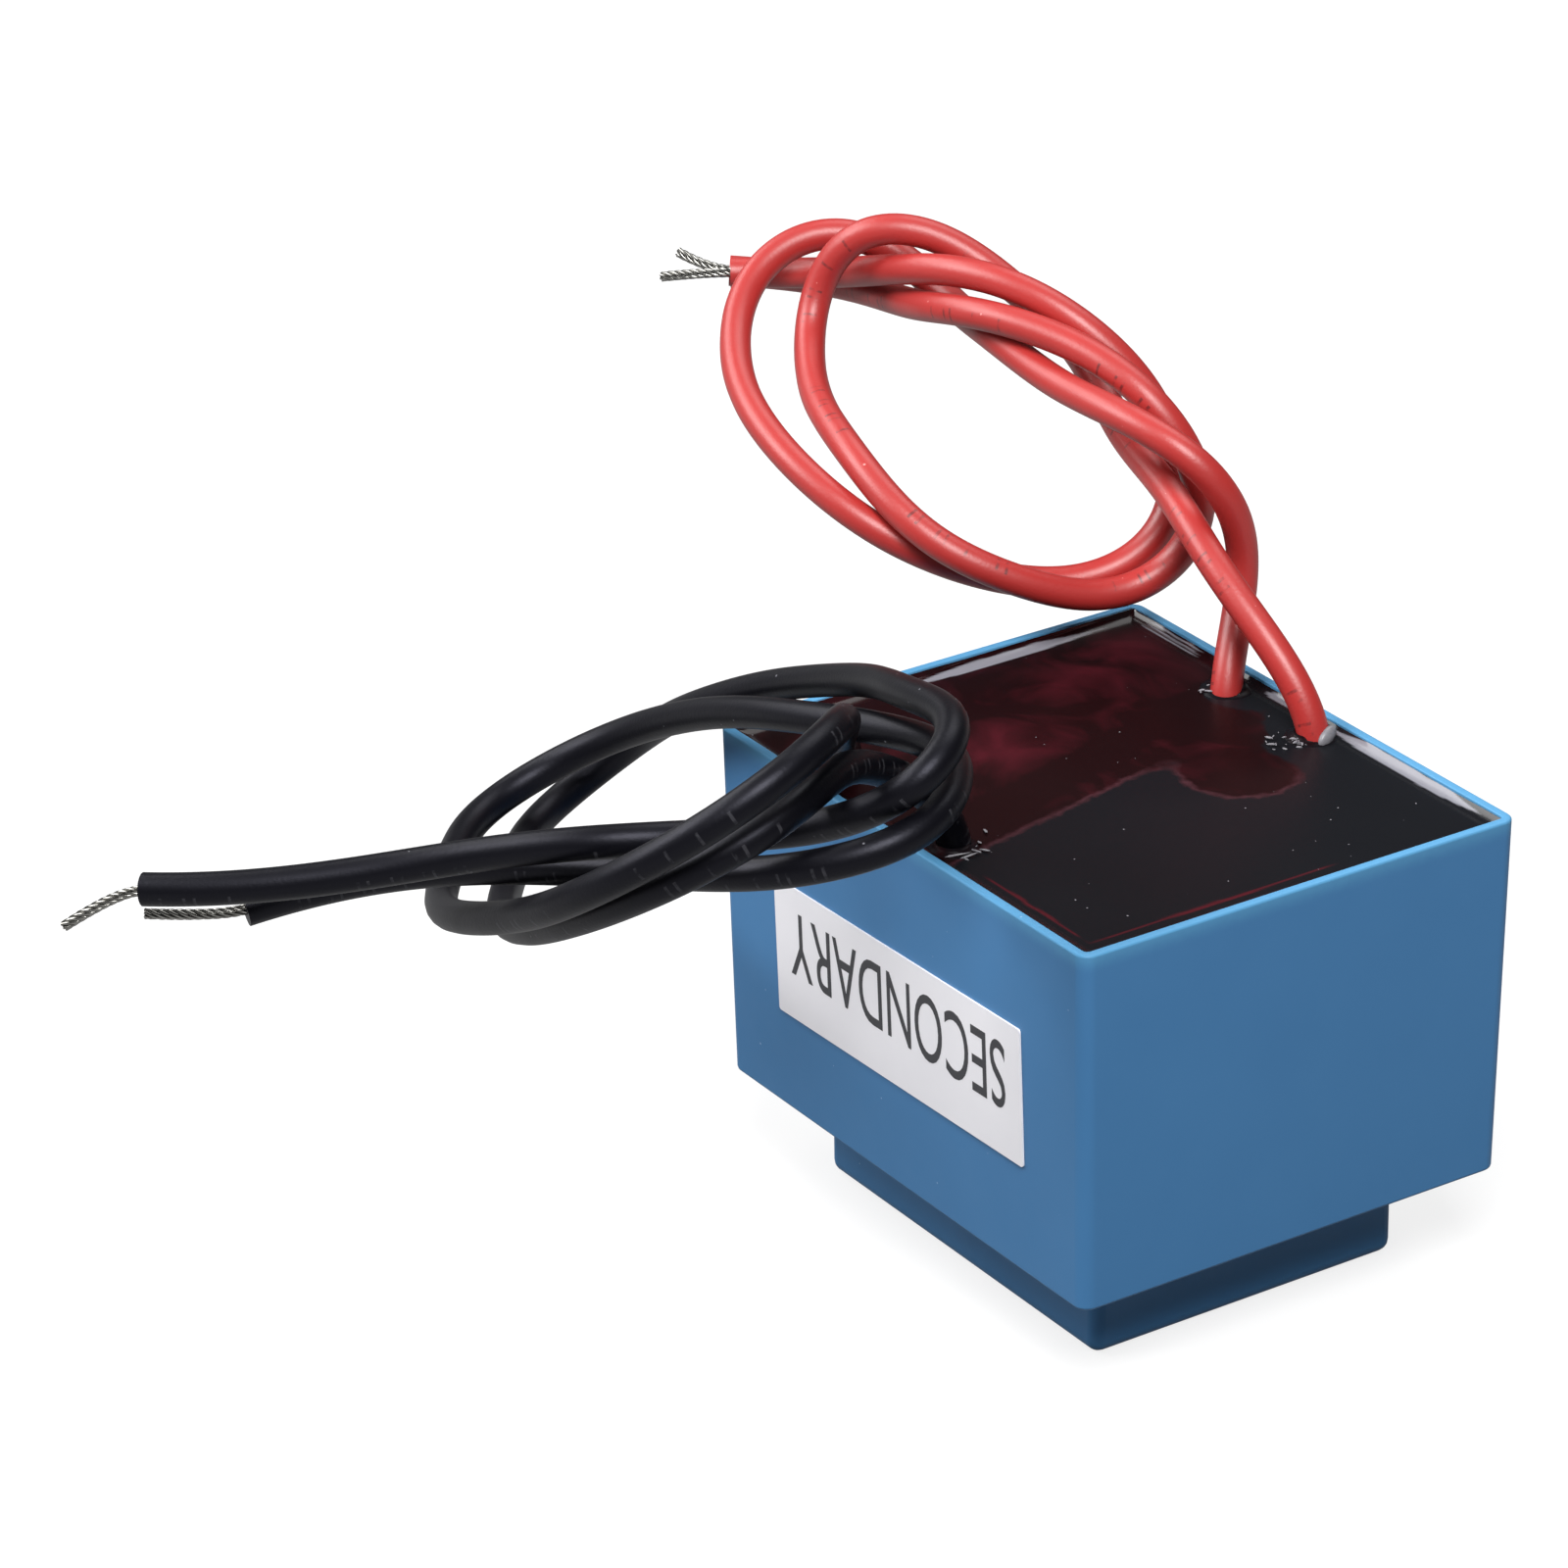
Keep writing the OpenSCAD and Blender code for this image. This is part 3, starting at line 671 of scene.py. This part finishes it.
class StageSizes(bpy.types.PropertyGroup):
    """Light and camera of the studio."""

    lens: FloatProperty(name="Lens", description="Focal length in millimetres", default=156.73)
    back: power("Back light", 1.9, "Power of the light above and behind")
    side: power("Side light", 2.6, "Power of the light beside the far wall")
    left: power("Left light", 2.9, "Power of the light on the label's side")
    right: power("Right light", 4.4, "Power of the light high on the right")
    air: FloatProperty(
        name="Air", description="Strength of the even light from all round", default=0.07)
    floor: colour("Floor", "#5C5C5E", "Colour that the floor throws back on the object")


class TransformerSizes(bpy.types.PropertyGroup):
    """All the sizes and colours of the dressed transformer."""

    lead: PointerProperty(type=LeadSizes, name="Leads", description="Leads")
    case: PointerProperty(type=CaseSizes, name="Case", description="Case")
    resin: PointerProperty(type=ResinSizes, name="Resin", description="Resin")
    label: PointerProperty(type=LabelSizes, name="Label", description="Label")
    stage: PointerProperty(type=StageSizes, name="Stage", description="Stage")


# Pieces and studio

class TRANSFORMER_OT_camera(bpy.types.Operator):
    """Sets the camera at the photograph's viewing angle"""

    bl_idname = "transformer.camera"
    bl_label = "Camera"

    def execute(self, context):
        p = context.scene.transformer.stage
        camera = put("camera", bpy.data.cameras.new("camera"))
        camera.data.sensor_width = 36
        camera.data.lens = p.lens
        camera.data.clip_start, camera.data.clip_end = 0.01, 50
        turn = Matrix(CAMERA_AXES).to_quaternion().to_matrix().to_4x4()
        camera.matrix_world = Matrix.Translation(Vector(CAMERA_PLACE) * MM) @ turn
        context.scene.camera = camera
        return {"FINISHED"}


class TRANSFORMER_OT_leads(bpy.types.Operator):
    """Makes the four leads with their bare twisted ends"""

    bl_idname = "transformer.leads"
    bl_label = "Leads"

    def execute(self, context):
        p = context.scene.transformer.lead
        skins = {
            "red": insulation(
                "red_pvc_insulation", p.red, p.red_shade, p.red_ink, p.red_dust,
                strength=0.7, gloss=0.65, rough=0.38),
            "black": insulation(
                "black_pvc_insulation", p.black, p.black_shade, p.black_ink, p.black_dust,
                strength=0.25, gloss=0.2, rough=0.38, tint=p.black_sheen),
        }
        tin = tinned_copper(p)
        for name, (leave, _, tip) in LEADS.items():
            tone = name.split("_")[0]
            line = eased(lead_points(name))
            mesh = swept(name + "_tube", [line], p.diameter / 2 / MM, rounding=7)
            measure_along(mesh, line)
            tube = place_piece(
                name.replace("lead", "insulation"), mesh, skins[tone], [name])
            end = line[-1]
            onward = (line[-1] - line[-2]).normalized()
            near, far = (end + onward * reach for reach in BARE_BEND)
            path = interpolate_bezier(end - onward * BARE_IN, near, far, end + Vector(tip), 40)
            bare = swept(
                name + "_bare", twisted(path, p.strands, p.strand / MM), p.strand / 2 / MM,
                rounding=1)
            wires = place_piece(
                name.replace("lead", "wire_end"), bare, tin,
                [name.replace("lead", "strands")])
        return {"FINISHED"}


def case_mesh(p):
    """The case's shell: a drafted box on a smaller step, hollowed from its rim down."""
    rim_z = case_high.z / MM
    wide, deep = (case_high.x - case_low.x) / MM, (case_high.y - case_low.y) / MM
    slope = 2 * math.tan(p.draft)
    ledge, floor, wall = p.ledge / MM, p.floor / MM, p.wall / MM
    pot_floor = ledge + floor
    step_w, step_d = p.step_width / MM, p.step_depth / MM
    well_w, well_d = step_w - 2 * p.step_wall / MM, step_d - 2 * p.step_wall / MM
    bm = bmesh.new()
    bmesh.ops.create_cube(bm, size=2)
    for v in bm.verts:
        z = rim_z if v.co.z > 0 else ledge
        shrink = slope * (rim_z - z)
        v.co = (v.co.x * (wide - shrink) / 2, v.co.y * (deep - shrink) / 2, z)
    bottom = next(f for f in bm.faces if f.normal.z < -0.9)

    def tall(edges):
        """Those of the edges that rise by more than a millimetre."""
        return [e for e in edges if abs(e.verts[0].co.z - e.verts[1].co.z) > 1]

    def draw(face, w, d, z):
        """Draws a face out to a new height and gives it this width and depth."""
        made = bmesh.ops.extrude_discrete_faces(bm, faces=[face])["faces"][0]
        was_w, was_d = (2 * max(v.co[i] for v in made.verts) for i in (0, 1))
        for v in made.verts:
            v.co = (v.co.x * w / was_w, v.co.y * d / was_d, z)
        return made

    def bevel(edges, size, segments):
        bmesh.ops.bevel(
            bm, geom=edges, offset=size, segments=segments, profile=0.5, material=-1,
            affect="EDGES", clamp_overlap=True)

    def level_edges(z, outer):
        """Edges where a wall meets a level face at this height, outside or within the wall."""
        bm.normal_update()
        found = []
        for e in bm.edges:
            flat = all(abs(v.co.z - z) < 1e-4 for v in e.verts)
            walls = any(abs(f.normal.z) < 0.5 for f in e.link_faces)
            middle = (e.verts[0].co + e.verts[1].co) / 2
            # An edge in the outer part of the wall counts as outside.
            inset = slope * (rim_z - z) / 2 + wall * 0.7
            out = abs(middle.x) > wide / 2 - inset or abs(middle.y) > deep / 2 - inset
            if flat and walls and out == outer:
                found.append(e)
        return found

    upright = tall(bm.edges)
    face = draw(bottom, step_w, step_d, ledge)
    roots = list(face.verts)
    face = draw(face, step_w, step_d, 0)
    step = list(face.edges) + [e for v in roots for e in tall(v.link_edges)]
    bevel(upright, p.corner / MM, segments=6)
    bevel(step, p.step_corner / MM, segments=5)
    bm.normal_update()
    face = max(bm.faces, key=lambda f: f.calc_center_median().z)
    bmesh.ops.inset_individual(bm, faces=[face], thickness=wall, use_even_offset=True)
    shrink = slope * (rim_z - pot_floor)
    face = draw(face, wide - 2 * wall - shrink, deep - 2 * wall - shrink, pot_floor)
    face = draw(face, well_w, well_d, pot_floor)
    draw(face, well_w, well_d, floor)
    bevel(level_edges(ledge, outer=True), p.foot / MM, segments=3)
    bevel(level_edges(rim_z, outer=True), p.rim / MM, segments=3)
    bevel(level_edges(rim_z, outer=False), p.rim / MM / 2, segments=2)
    return to_mesh(bm, "case_shell")


class TRANSFORMER_OT_case(bpy.types.Operator):
    """Makes the moulded case with its step and its open pot"""

    bl_idname = "transformer.case"
    bl_label = "Case"

    def execute(self, context):
        p = context.scene.transformer.case
        shell = place_piece("case_shell", case_mesh(p), blue_abs(p), ["case"])
        even = shell.modifiers.new("even_normals", "WEIGHTED_NORMAL")
        even.keep_sharp = True
        return {"FINISHED"}


def stripes(table, walls):
    """How much of a table's stripes lies at a point, by how far along and away from each wall it
    is. A stripe narrows over the taper at both of its ends."""
    most = 0.0
    for wall, first, last, taper, near, far in table:
        along, away = walls[wall]
        ends = min(1.0, (along - first) / taper, (last - along) / taper)
        if ends <= 0:
            continue
        away += STRIPE_BLUR * noise.noise((along / STRIPE_WANDER, first, 0.5))
        inside = ends * (far - near) / 2 - abs(away - (near + far) / 2)
        most = max(most, min(1.0, inside / STRIPE_BLUR + 0.5))
    return most


def nearness(at, spots, size):
    """One at the nearest of some spots, fading to nothing within about twice this size."""
    return max(math.exp(-((at - Vector(spot)).length / size) ** 2) for spot in spots)


def shape_surface(bm, p, half_w, half_d):
    """Bends a grid into the resin's surface, which climbs the walls in a curve, and gives each
    vertex the marks that the resin's finish reads."""
    level, band, climb = p.level / MM, p.meniscus / MM, p.climb / MM
    reach = math.sqrt(band**2 - (band - climb) ** 2)
    names = ("tide", "pour", "shore", "edge", "painted_reflection", "seam")
    tide, pour, shore, edge, painted_reflection, seam = [bm.verts.layers.float.new(name) for name in names]
    pools = [leave[:2] for name, (leave, _, _) in LEADS.items() if name.startswith("red")]
    streak = [Vector(at) for at in STREAK]
    for v in bm.verts:
        x = math.copysign(1 - (1 - abs(v.co.x)) ** GRID_CROWDING, v.co.x) * half_w
        y = math.copysign(1 - (1 - abs(v.co.y)) ** GRID_CROWDING, v.co.y) * half_d
        at = Vector((x, y))
        side, end = half_w - abs(x), half_d - abs(y)
        rises = []
        for away in (side, end):
            near = max(0.0, reach - away)
            rises.append(band - math.sqrt(band**2 - near**2))
        wet = WET_SHARE + WET_VARIES * noise.noise((x / WET_LENGTH, y / WET_LENGTH, 7.7))
        lift = min(climb, wet * (rises[0] ** 4 + rises[1] ** 4) ** 0.25)
        wave = WAVE_HEIGHT * noise.noise((x / WAVE_LENGTH, y / WAVE_LENGTH, 3.1))
        wave *= min(1, side / WAVE_START) * min(1, end / WAVE_START)
        v.co = (x, y, level + lift + wave)
        walls = {
            "-X": (y, half_w + x), "+X": (y, half_w - x),
            "-Y": (x, half_d + y), "+Y": (x, half_d - y),
        }
        v[edge] = max(0.0, 1 - min(side, end) / reach)
        # Painted reflection stripes, which the finish turns into a pale colour.
        v[painted_reflection] = stripes(PAINTED_REFLECTIONS, walls)
        v[seam] = stripes(SEAMS, walls)
        line = POUR_EDGE[0] - POUR_SLANT * (y - POUR_EDGE[1]) - x
        lobes = [radius - (at - Vector(middle)).length for middle, radius in LOBES]
        pooled = POOL_DEPTH * nearness(at, pools, POOL_SIZE)
        # The edge and the lobes run smoothly into one another.
        v[tide] = math.log(sum(math.exp(max(part, -9)) for part in (line, *lobes))) - pooled
        ashore = (at - Vector(LOBES[0][0])).dot(Vector(SHORE_WAY))
        v[shore] = min(1.0, max(0.0, SHORE_FAINT + SHORE_GAIN * ashore))
        away = min(
            (at - intersect_point_line(at, a, b)[0].xy).length for a, b in zip(streak, streak[1:]))
        dark = STREAK_DEPTH * math.exp(-(away / STREAK_WIDTH) ** 2)
        v[pour] = CLEARING_DEPTH * nearness(at, CLEARINGS, CLEARING_SIZE) - dark


def fill_mesh(p, case):
    """The resin's block: its surface, and below that the pot's inside less a small gap."""
    wall = case.wall / MM
    half_w, half_d = ((case_high[i] - case_low[i]) / MM / 2 - wall - RESIN_GAP for i in (0, 1))
    bm = bmesh.new()
    bmesh.ops.create_grid(bm, x_segments=GRID[0], y_segments=GRID[1], size=1)
    shape_surface(bm, p, half_w, half_d)

    def down(edges, wide, deep, z):
        """Draws a loop of edges down to a height and gives it this half width and half depth."""
        made = bmesh.ops.extrude_edge_only(bm, edges=edges)["geom"]
        verts = [g for g in made if isinstance(g, bmesh.types.BMVert)]
        was_w, was_d = (max(abs(v.co[i]) for v in verts) for i in (0, 1))
        for v in verts:
            v.co = (v.co.x * wide / was_w, v.co.y * deep / was_d, z)
        return [g for g in made if isinstance(g, bmesh.types.BMEdge)]

    shelf, floor = (case.ledge + case.floor) / MM + RESIN_GAP, case.floor / MM + RESIN_GAP
    drawn_in = math.tan(case.draft) * (case_high.z / MM - shelf)
    well_w = (case.step_width / 2 - case.step_wall) / MM - RESIN_GAP
    well_d = (case.step_depth / 2 - case.step_wall) / MM - RESIN_GAP
    edges = [e for e in bm.edges if e.is_boundary]
    edges = down(edges, half_w - drawn_in, half_d - drawn_in, shelf)
    edges = down(edges, well_w, well_d, shelf)
    edges = down(edges, well_w, well_d, floor)
    bmesh.ops.edgeloop_fill(bm, edges=edges)
    bmesh.ops.recalc_face_normals(bm, faces=bm.faces)
    return to_mesh(bm, "resin_fill")


def collars_mesh(lead):
    """The collars of resin that climb the leads."""
    radius = lead.diameter / 2 / MM
    bm = bmesh.new()
    for (x, y, z), _, _ in LEADS.values():
        ring = [bm.verts.new((x + radius + out, y, z + up)) for out, up in COLLAR]
        loop = [bm.edges.new((a, b)) for a, b in zip(ring, ring[1:] + ring[:1])]
        bmesh.ops.spin(
            bm, geom=ring + loop, cent=(x, y, z), axis=(0, 0, 1), angle=math.tau, steps=32,
            use_merge=True, use_duplicate=False)
    bmesh.ops.recalc_face_normals(bm, faces=bm.faces)
    return to_mesh(bm, "resin_collars")


def flakes_mesh(level):
    """The loose slivers, the heaps of crumbs and the bead that lie on the resin."""
    bm = bmesh.new()

    def turned(degrees, axis):
        return Matrix.Rotation(math.radians(degrees), 4, axis)

    def chip(size, place):
        """A lump of this size in millimetres with an uneven skin, set in its place."""
        made = bmesh.ops.create_icosphere(bm, subdivisions=2, radius=0.5)["verts"]
        for v in made:
            v.co = v.co * (1 + 0.5 * noise.noise(v.co * 4 + place.translation))
        bmesh.ops.transform(bm, matrix=place @ Matrix.Diagonal((*size, 1)), verts=made)

    for (x, y), long, way in SLIVERS:
        lie = Matrix.Translation((x, y, level + SLIVER_LIFT)) @ turned(way, "Z")
        chip((long, *SLIVER_SECTION), lie @ turned(SLIVER_TILT, "Y"))
    # Sines of a crumb's number spread the sizes and the heights, with no random draw.
    for (x, y), spread, count in CRUMBS:
        for i in range(count):
            out, a = spread * math.sqrt((i + 0.5) / count), CRUMB_TURN * i
            size = CRUMB_LEAST + CRUMB_GROWTH * math.sin(7.3 * i) ** 4
            lift = 0.3 * size + HEAP_HEIGHT * math.sin(5.1 * i) ** 2
            lie = Matrix.Translation((x + out * math.cos(a), y + out * math.sin(a), level + lift))
            chip((size * CRUMB_STRETCH, size, size), lie @ Matrix.Rotation(1.3 * i, 4, "Z"))
    # The bead is a raised fillet of resin; its pale grey is partly a painted reflection on that
    # fillet.
    stand = Matrix.Translation(LEADS["red_lead_2"][0]) @ turned(BEAD_TURN, "Z")
    bead = Matrix.Translation(BEAD_PLACE) @ turned(BEAD_TURN, "X")
    made = bmesh.ops.create_icosphere(bm, subdivisions=4, radius=0.5)["verts"]
    bmesh.ops.transform(bm, matrix=stand @ bead @ Matrix.Diagonal((*BEAD_SIZE, 1)), verts=made)
    return to_mesh(bm, "resin_flakes")


class TRANSFORMER_OT_resin(bpy.types.Operator):
    """Makes the resin fill with its curved edge, the collars at the leads and the loose flakes"""

    bl_idname = "transformer.resin"
    bl_label = "Resin"

    def execute(self, context):
        sizes = context.scene.transformer
        resin = epoxy(sizes.resin)
        # Crumbled epoxy is pale grey, because its broken faces scatter the light. The bead shares
        # this finish, and there the pale grey is also a painted reflection.
        flake = speckled("crumbled_epoxy_and_painted_reflection", "#8E8D92", "#6C6A71", 0.3, 0.4, IOR=1.52)
        place_piece("resin_fill", fill_mesh(sizes.resin, sizes.case), resin,
                    ["potting_compound"])
        place_piece("resin_collars", collars_mesh(sizes.lead), resin)
        place_piece("resin_flakes", flakes_mesh(sizes.resin.level / MM), flake)
        return {"FINISHED"}


class TRANSFORMER_OT_label(bpy.types.Operator):
    """Makes the label and its plain marking"""

    bl_idname = "transformer.label"
    bl_label = "Label"

    def execute(self, context):
        p = context.scene.transformer.label
        draft = context.scene.transformer.case.draft
        face_y = case_low.y + p.drop * math.tan(draft)
        seat = (
            Matrix.Translation((0, face_y, case_high.z - p.drop))
            @ Matrix.Rotation(math.pi / 2 + draft, 4, "X")
            @ Matrix.Translation((0, 0, p.glue))
            @ Matrix.Rotation(p.lean, 4, "Z"))
        bm = bmesh.new()
        bmesh.ops.create_grid(bm, x_segments=1, y_segments=1, size=0.5)
        bmesh.ops.scale(bm, vec=(p.width / MM, p.height / MM, 1), verts=bm.verts)
        bmesh.ops.bevel(
            bm, geom=bm.verts[:], offset=p.corner / MM, segments=4, profile=0.5, material=-1,
            affect="VERTICES", clamp_overlap=True)
        sheet = bmesh.ops.extrude_face_region(bm, geom=bm.faces[:])["geom"]
        bmesh.ops.translate(
            bm, vec=(0, 0, p.thickness / MM),
            verts=[g for g in sheet if isinstance(g, bmesh.types.BMVert)])
        bmesh.ops.recalc_face_normals(bm, faces=bm.faces)
        mesh = to_mesh(bm, "label_sheet", smooth=False)
        mesh.transform(seat)
        place_piece("label_sheet", mesh, label_film(p), ["label"])

        text = bpy.data.curves.new("marking", "FONT")
        text.body = p.words
        text.align_x = text.align_y = "CENTER"
        text.resolution_u = 6
        text.extrude = INK_HALF
        ink_mesh = curve_mesh(text)
        xs = [v.co.x for v in ink_mesh.vertices]
        ys = [v.co.y for v in ink_mesh.vertices]
        fit = Matrix.Diagonal((
            p.words_width / (max(xs) - min(xs)), p.words_height / (max(ys) - min(ys)), MM, 1))
        centre = Matrix.Translation((-(max(xs) + min(xs)) / 2, -(max(ys) + min(ys)) / 2, 0))
        lift = Matrix.Translation((0, p.words_rise, p.thickness + INK_LIFT * MM))
        turned = lift @ Matrix.Rotation(math.pi, 4, "Z")
        ink_mesh.transform(seat @ turned @ fit @ centre)
        # Printed ink dries to a matt near black.
        ink = speckled("printed_label_ink", "#2C2C30", "#3A3A3F", 0.4, 0.55)
        place_piece("label_marking", ink_mesh, ink)
        return {"FINISHED"}


class TRANSFORMER_OT_inside(bpy.types.Operator):
    """Gives the pieces inside the resin their finishes"""

    bl_idname = "transformer.inside"
    bl_label = "Pieces inside"

    def execute(self, context):
        # Moulded nylon is dull and creamy, enamelled copper shines red brown, polyester tape has a
        # dark red satin, and tin solder is bright with grey patches.
        steel = laminated_steel()
        nylon = speckled("moulded_nylon", "#E2DCC8", "#D6CFB8", 1.5, 0.5, IOR=1.53)
        copper = speckled("enamelled_copper_wire", "#A8522A", "#8A3E1E", 0.4, 0.35, Metallic=1.0)
        tape = speckled("polyester_coil_tape", "#6E1F22", "#5C181B", 2.0, 0.4, IOR=1.6)
        solder = speckled("tin_solder", "#B9B9B6", "#96958F", 0.6, 0.35, Metallic=1.0)
        finishes = {
            "core_e_stack": steel, "core_i_stack": steel, "bobbin": nylon,
            "primary_winding": copper, "secondary_winding": copper,
            "primary_tape": tape, "secondary_tape": tape,
            "red_joint_1": solder, "red_joint_2": solder,
            "black_joint_1": solder, "black_joint_2": solder,
        }
        for name, material in finishes.items():
            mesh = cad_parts[name].data
            mesh.materials.clear()
            mesh.materials.append(material)
        return {"FINISHED"}


class TRANSFORMER_OT_stage(bpy.types.Operator):
    """Makes the floor, the air and the lights of the studio"""

    bl_idname = "transformer.stage"
    bl_label = "Stage"

    def execute(self, context):
        p = context.scene.transformer.stage
        scene = context.scene
        scene.view_settings.view_transform = "Standard"
        bm = bmesh.new()
        bmesh.ops.create_circle(bm, cap_ends=True, radius=8, segments=64)
        mesh = bpy.data.meshes.new("floor")
        bm.to_mesh(mesh)
        bm.free()
        floor = put("floor", mesh)
        material, tree, shader = start_material("matt_floor", Base_Color=p.floor, Roughness=0.9)
        # The camera and glossy pieces see a nearly white floor. Other light meets its own colour.
        rays = add(tree, "LightPath").outputs
        seen = add(tree, "Math", {
            0: rays["Is Camera Ray"], 1: rays["Is Glossy Ray"]}, operation="MAXIMUM")
        seen = add(tree, "Math", {0: seen, 1: rays["Is Transmission Ray"]}, operation="MAXIMUM")
        glow = add(tree, "Math", {0: rays["Is Camera Ray"], 1: 0.7, 2: 0.3},
                   operation="MULTIPLY_ADD")
        white = add(tree, "Emission", {"Color": (1, 1, 1, 1), "Strength": glow})
        pale = add(tree, "BsdfDiffuse", {"Color": (1, 1, 1, 1)})
        shown = add(tree, "MixShader", {0: 0.8, 1: pale, 2: white})
        mixed = add(tree, "MixShader", {0: seen, 1: shader, 2: shown})
        wire(tree, tree.nodes["Material Output"], {"Surface": mixed})
        mesh.materials.append(material)

        world = bpy.data.worlds.new("studio_air")
        scene.world = world
        world.use_nodes = True
        world.node_tree.nodes["Background"].inputs["Color"].default_value = (1, 1, 1, 1)
        world.node_tree.nodes["Background"].inputs["Strength"].default_value = p.air

        # Each light's name, power, place, width and height.
        lights = (
            ("back_light", p.back, (-0.24, 0.39, 0.66), 0.5, 0.4),
            ("side_light", p.side, (-0.64, -0.2, 0.5), 0.5, 0.35),
            ("left_light", p.left, (-0.3, -0.42, 0.4), 0.3, 0.3),
            ("right_light", p.right, (0.3, -0.18, 0.49), 0.25, 0.25),
        )
        for name, watts, at, wide, tall in lights:
            lamp = bpy.data.lights.new(name, "AREA")
            lamp.shape = "RECTANGLE"
            lamp.size, lamp.size_y, lamp.energy = wide, tall, watts
            light = put(name, lamp)
            back = Vector(at) - Vector(LIGHT_AIM)
            turn = back.to_track_quat("Z", "Y").to_matrix().to_4x4()
            light.matrix_world = Matrix.Translation(at) @ turn
        return {"FINISHED"}


class TRANSFORMER_PT_panel(bpy.types.Panel):
    """Lists the pieces and their sizes in the sidebar"""

    bl_idname = "TRANSFORMER_PT_panel"
    bl_label = "Transformer"
    bl_space_type = "VIEW_3D"
    bl_region_type = "UI"
    bl_category = "Transformer"

    def draw(self, context):
        sizes = context.scene.transformer
        for group in ("stage", "lead", "case", "resin", "label"):
            part = getattr(sizes, group)
            box = self.layout.box()
            for key in part.__annotations__:
                box.prop(part, key)
        for operator in OPERATORS:
            self.layout.operator(operator.bl_idname)


OPERATORS = (
    TRANSFORMER_OT_camera, TRANSFORMER_OT_leads, TRANSFORMER_OT_case, TRANSFORMER_OT_resin,
    TRANSFORMER_OT_label, TRANSFORMER_OT_inside, TRANSFORMER_OT_stage,
)
CLASSES = (
    LeadSizes, CaseSizes, ResinSizes, LabelSizes, StageSizes, TransformerSizes, *OPERATORS,
    TRANSFORMER_PT_panel,
)


def register():
    for cls in CLASSES:
        bpy.utils.register_class(cls)
    bpy.types.Scene.transformer = PointerProperty(type=TransformerSizes)


def unregister():
    del bpy.types.Scene.transformer
    for cls in reversed(CLASSES):
        bpy.utils.unregister_class(cls)


def main():
    register()
    bpy.ops.transformer.camera()
    bpy.ops.transformer.leads()
    bpy.ops.transformer.case()
    bpy.ops.transformer.resin()
    bpy.ops.transformer.label()
    bpy.ops.transformer.inside()
    bpy.ops.transformer.stage()


if __name__ == "__main__":
    main()
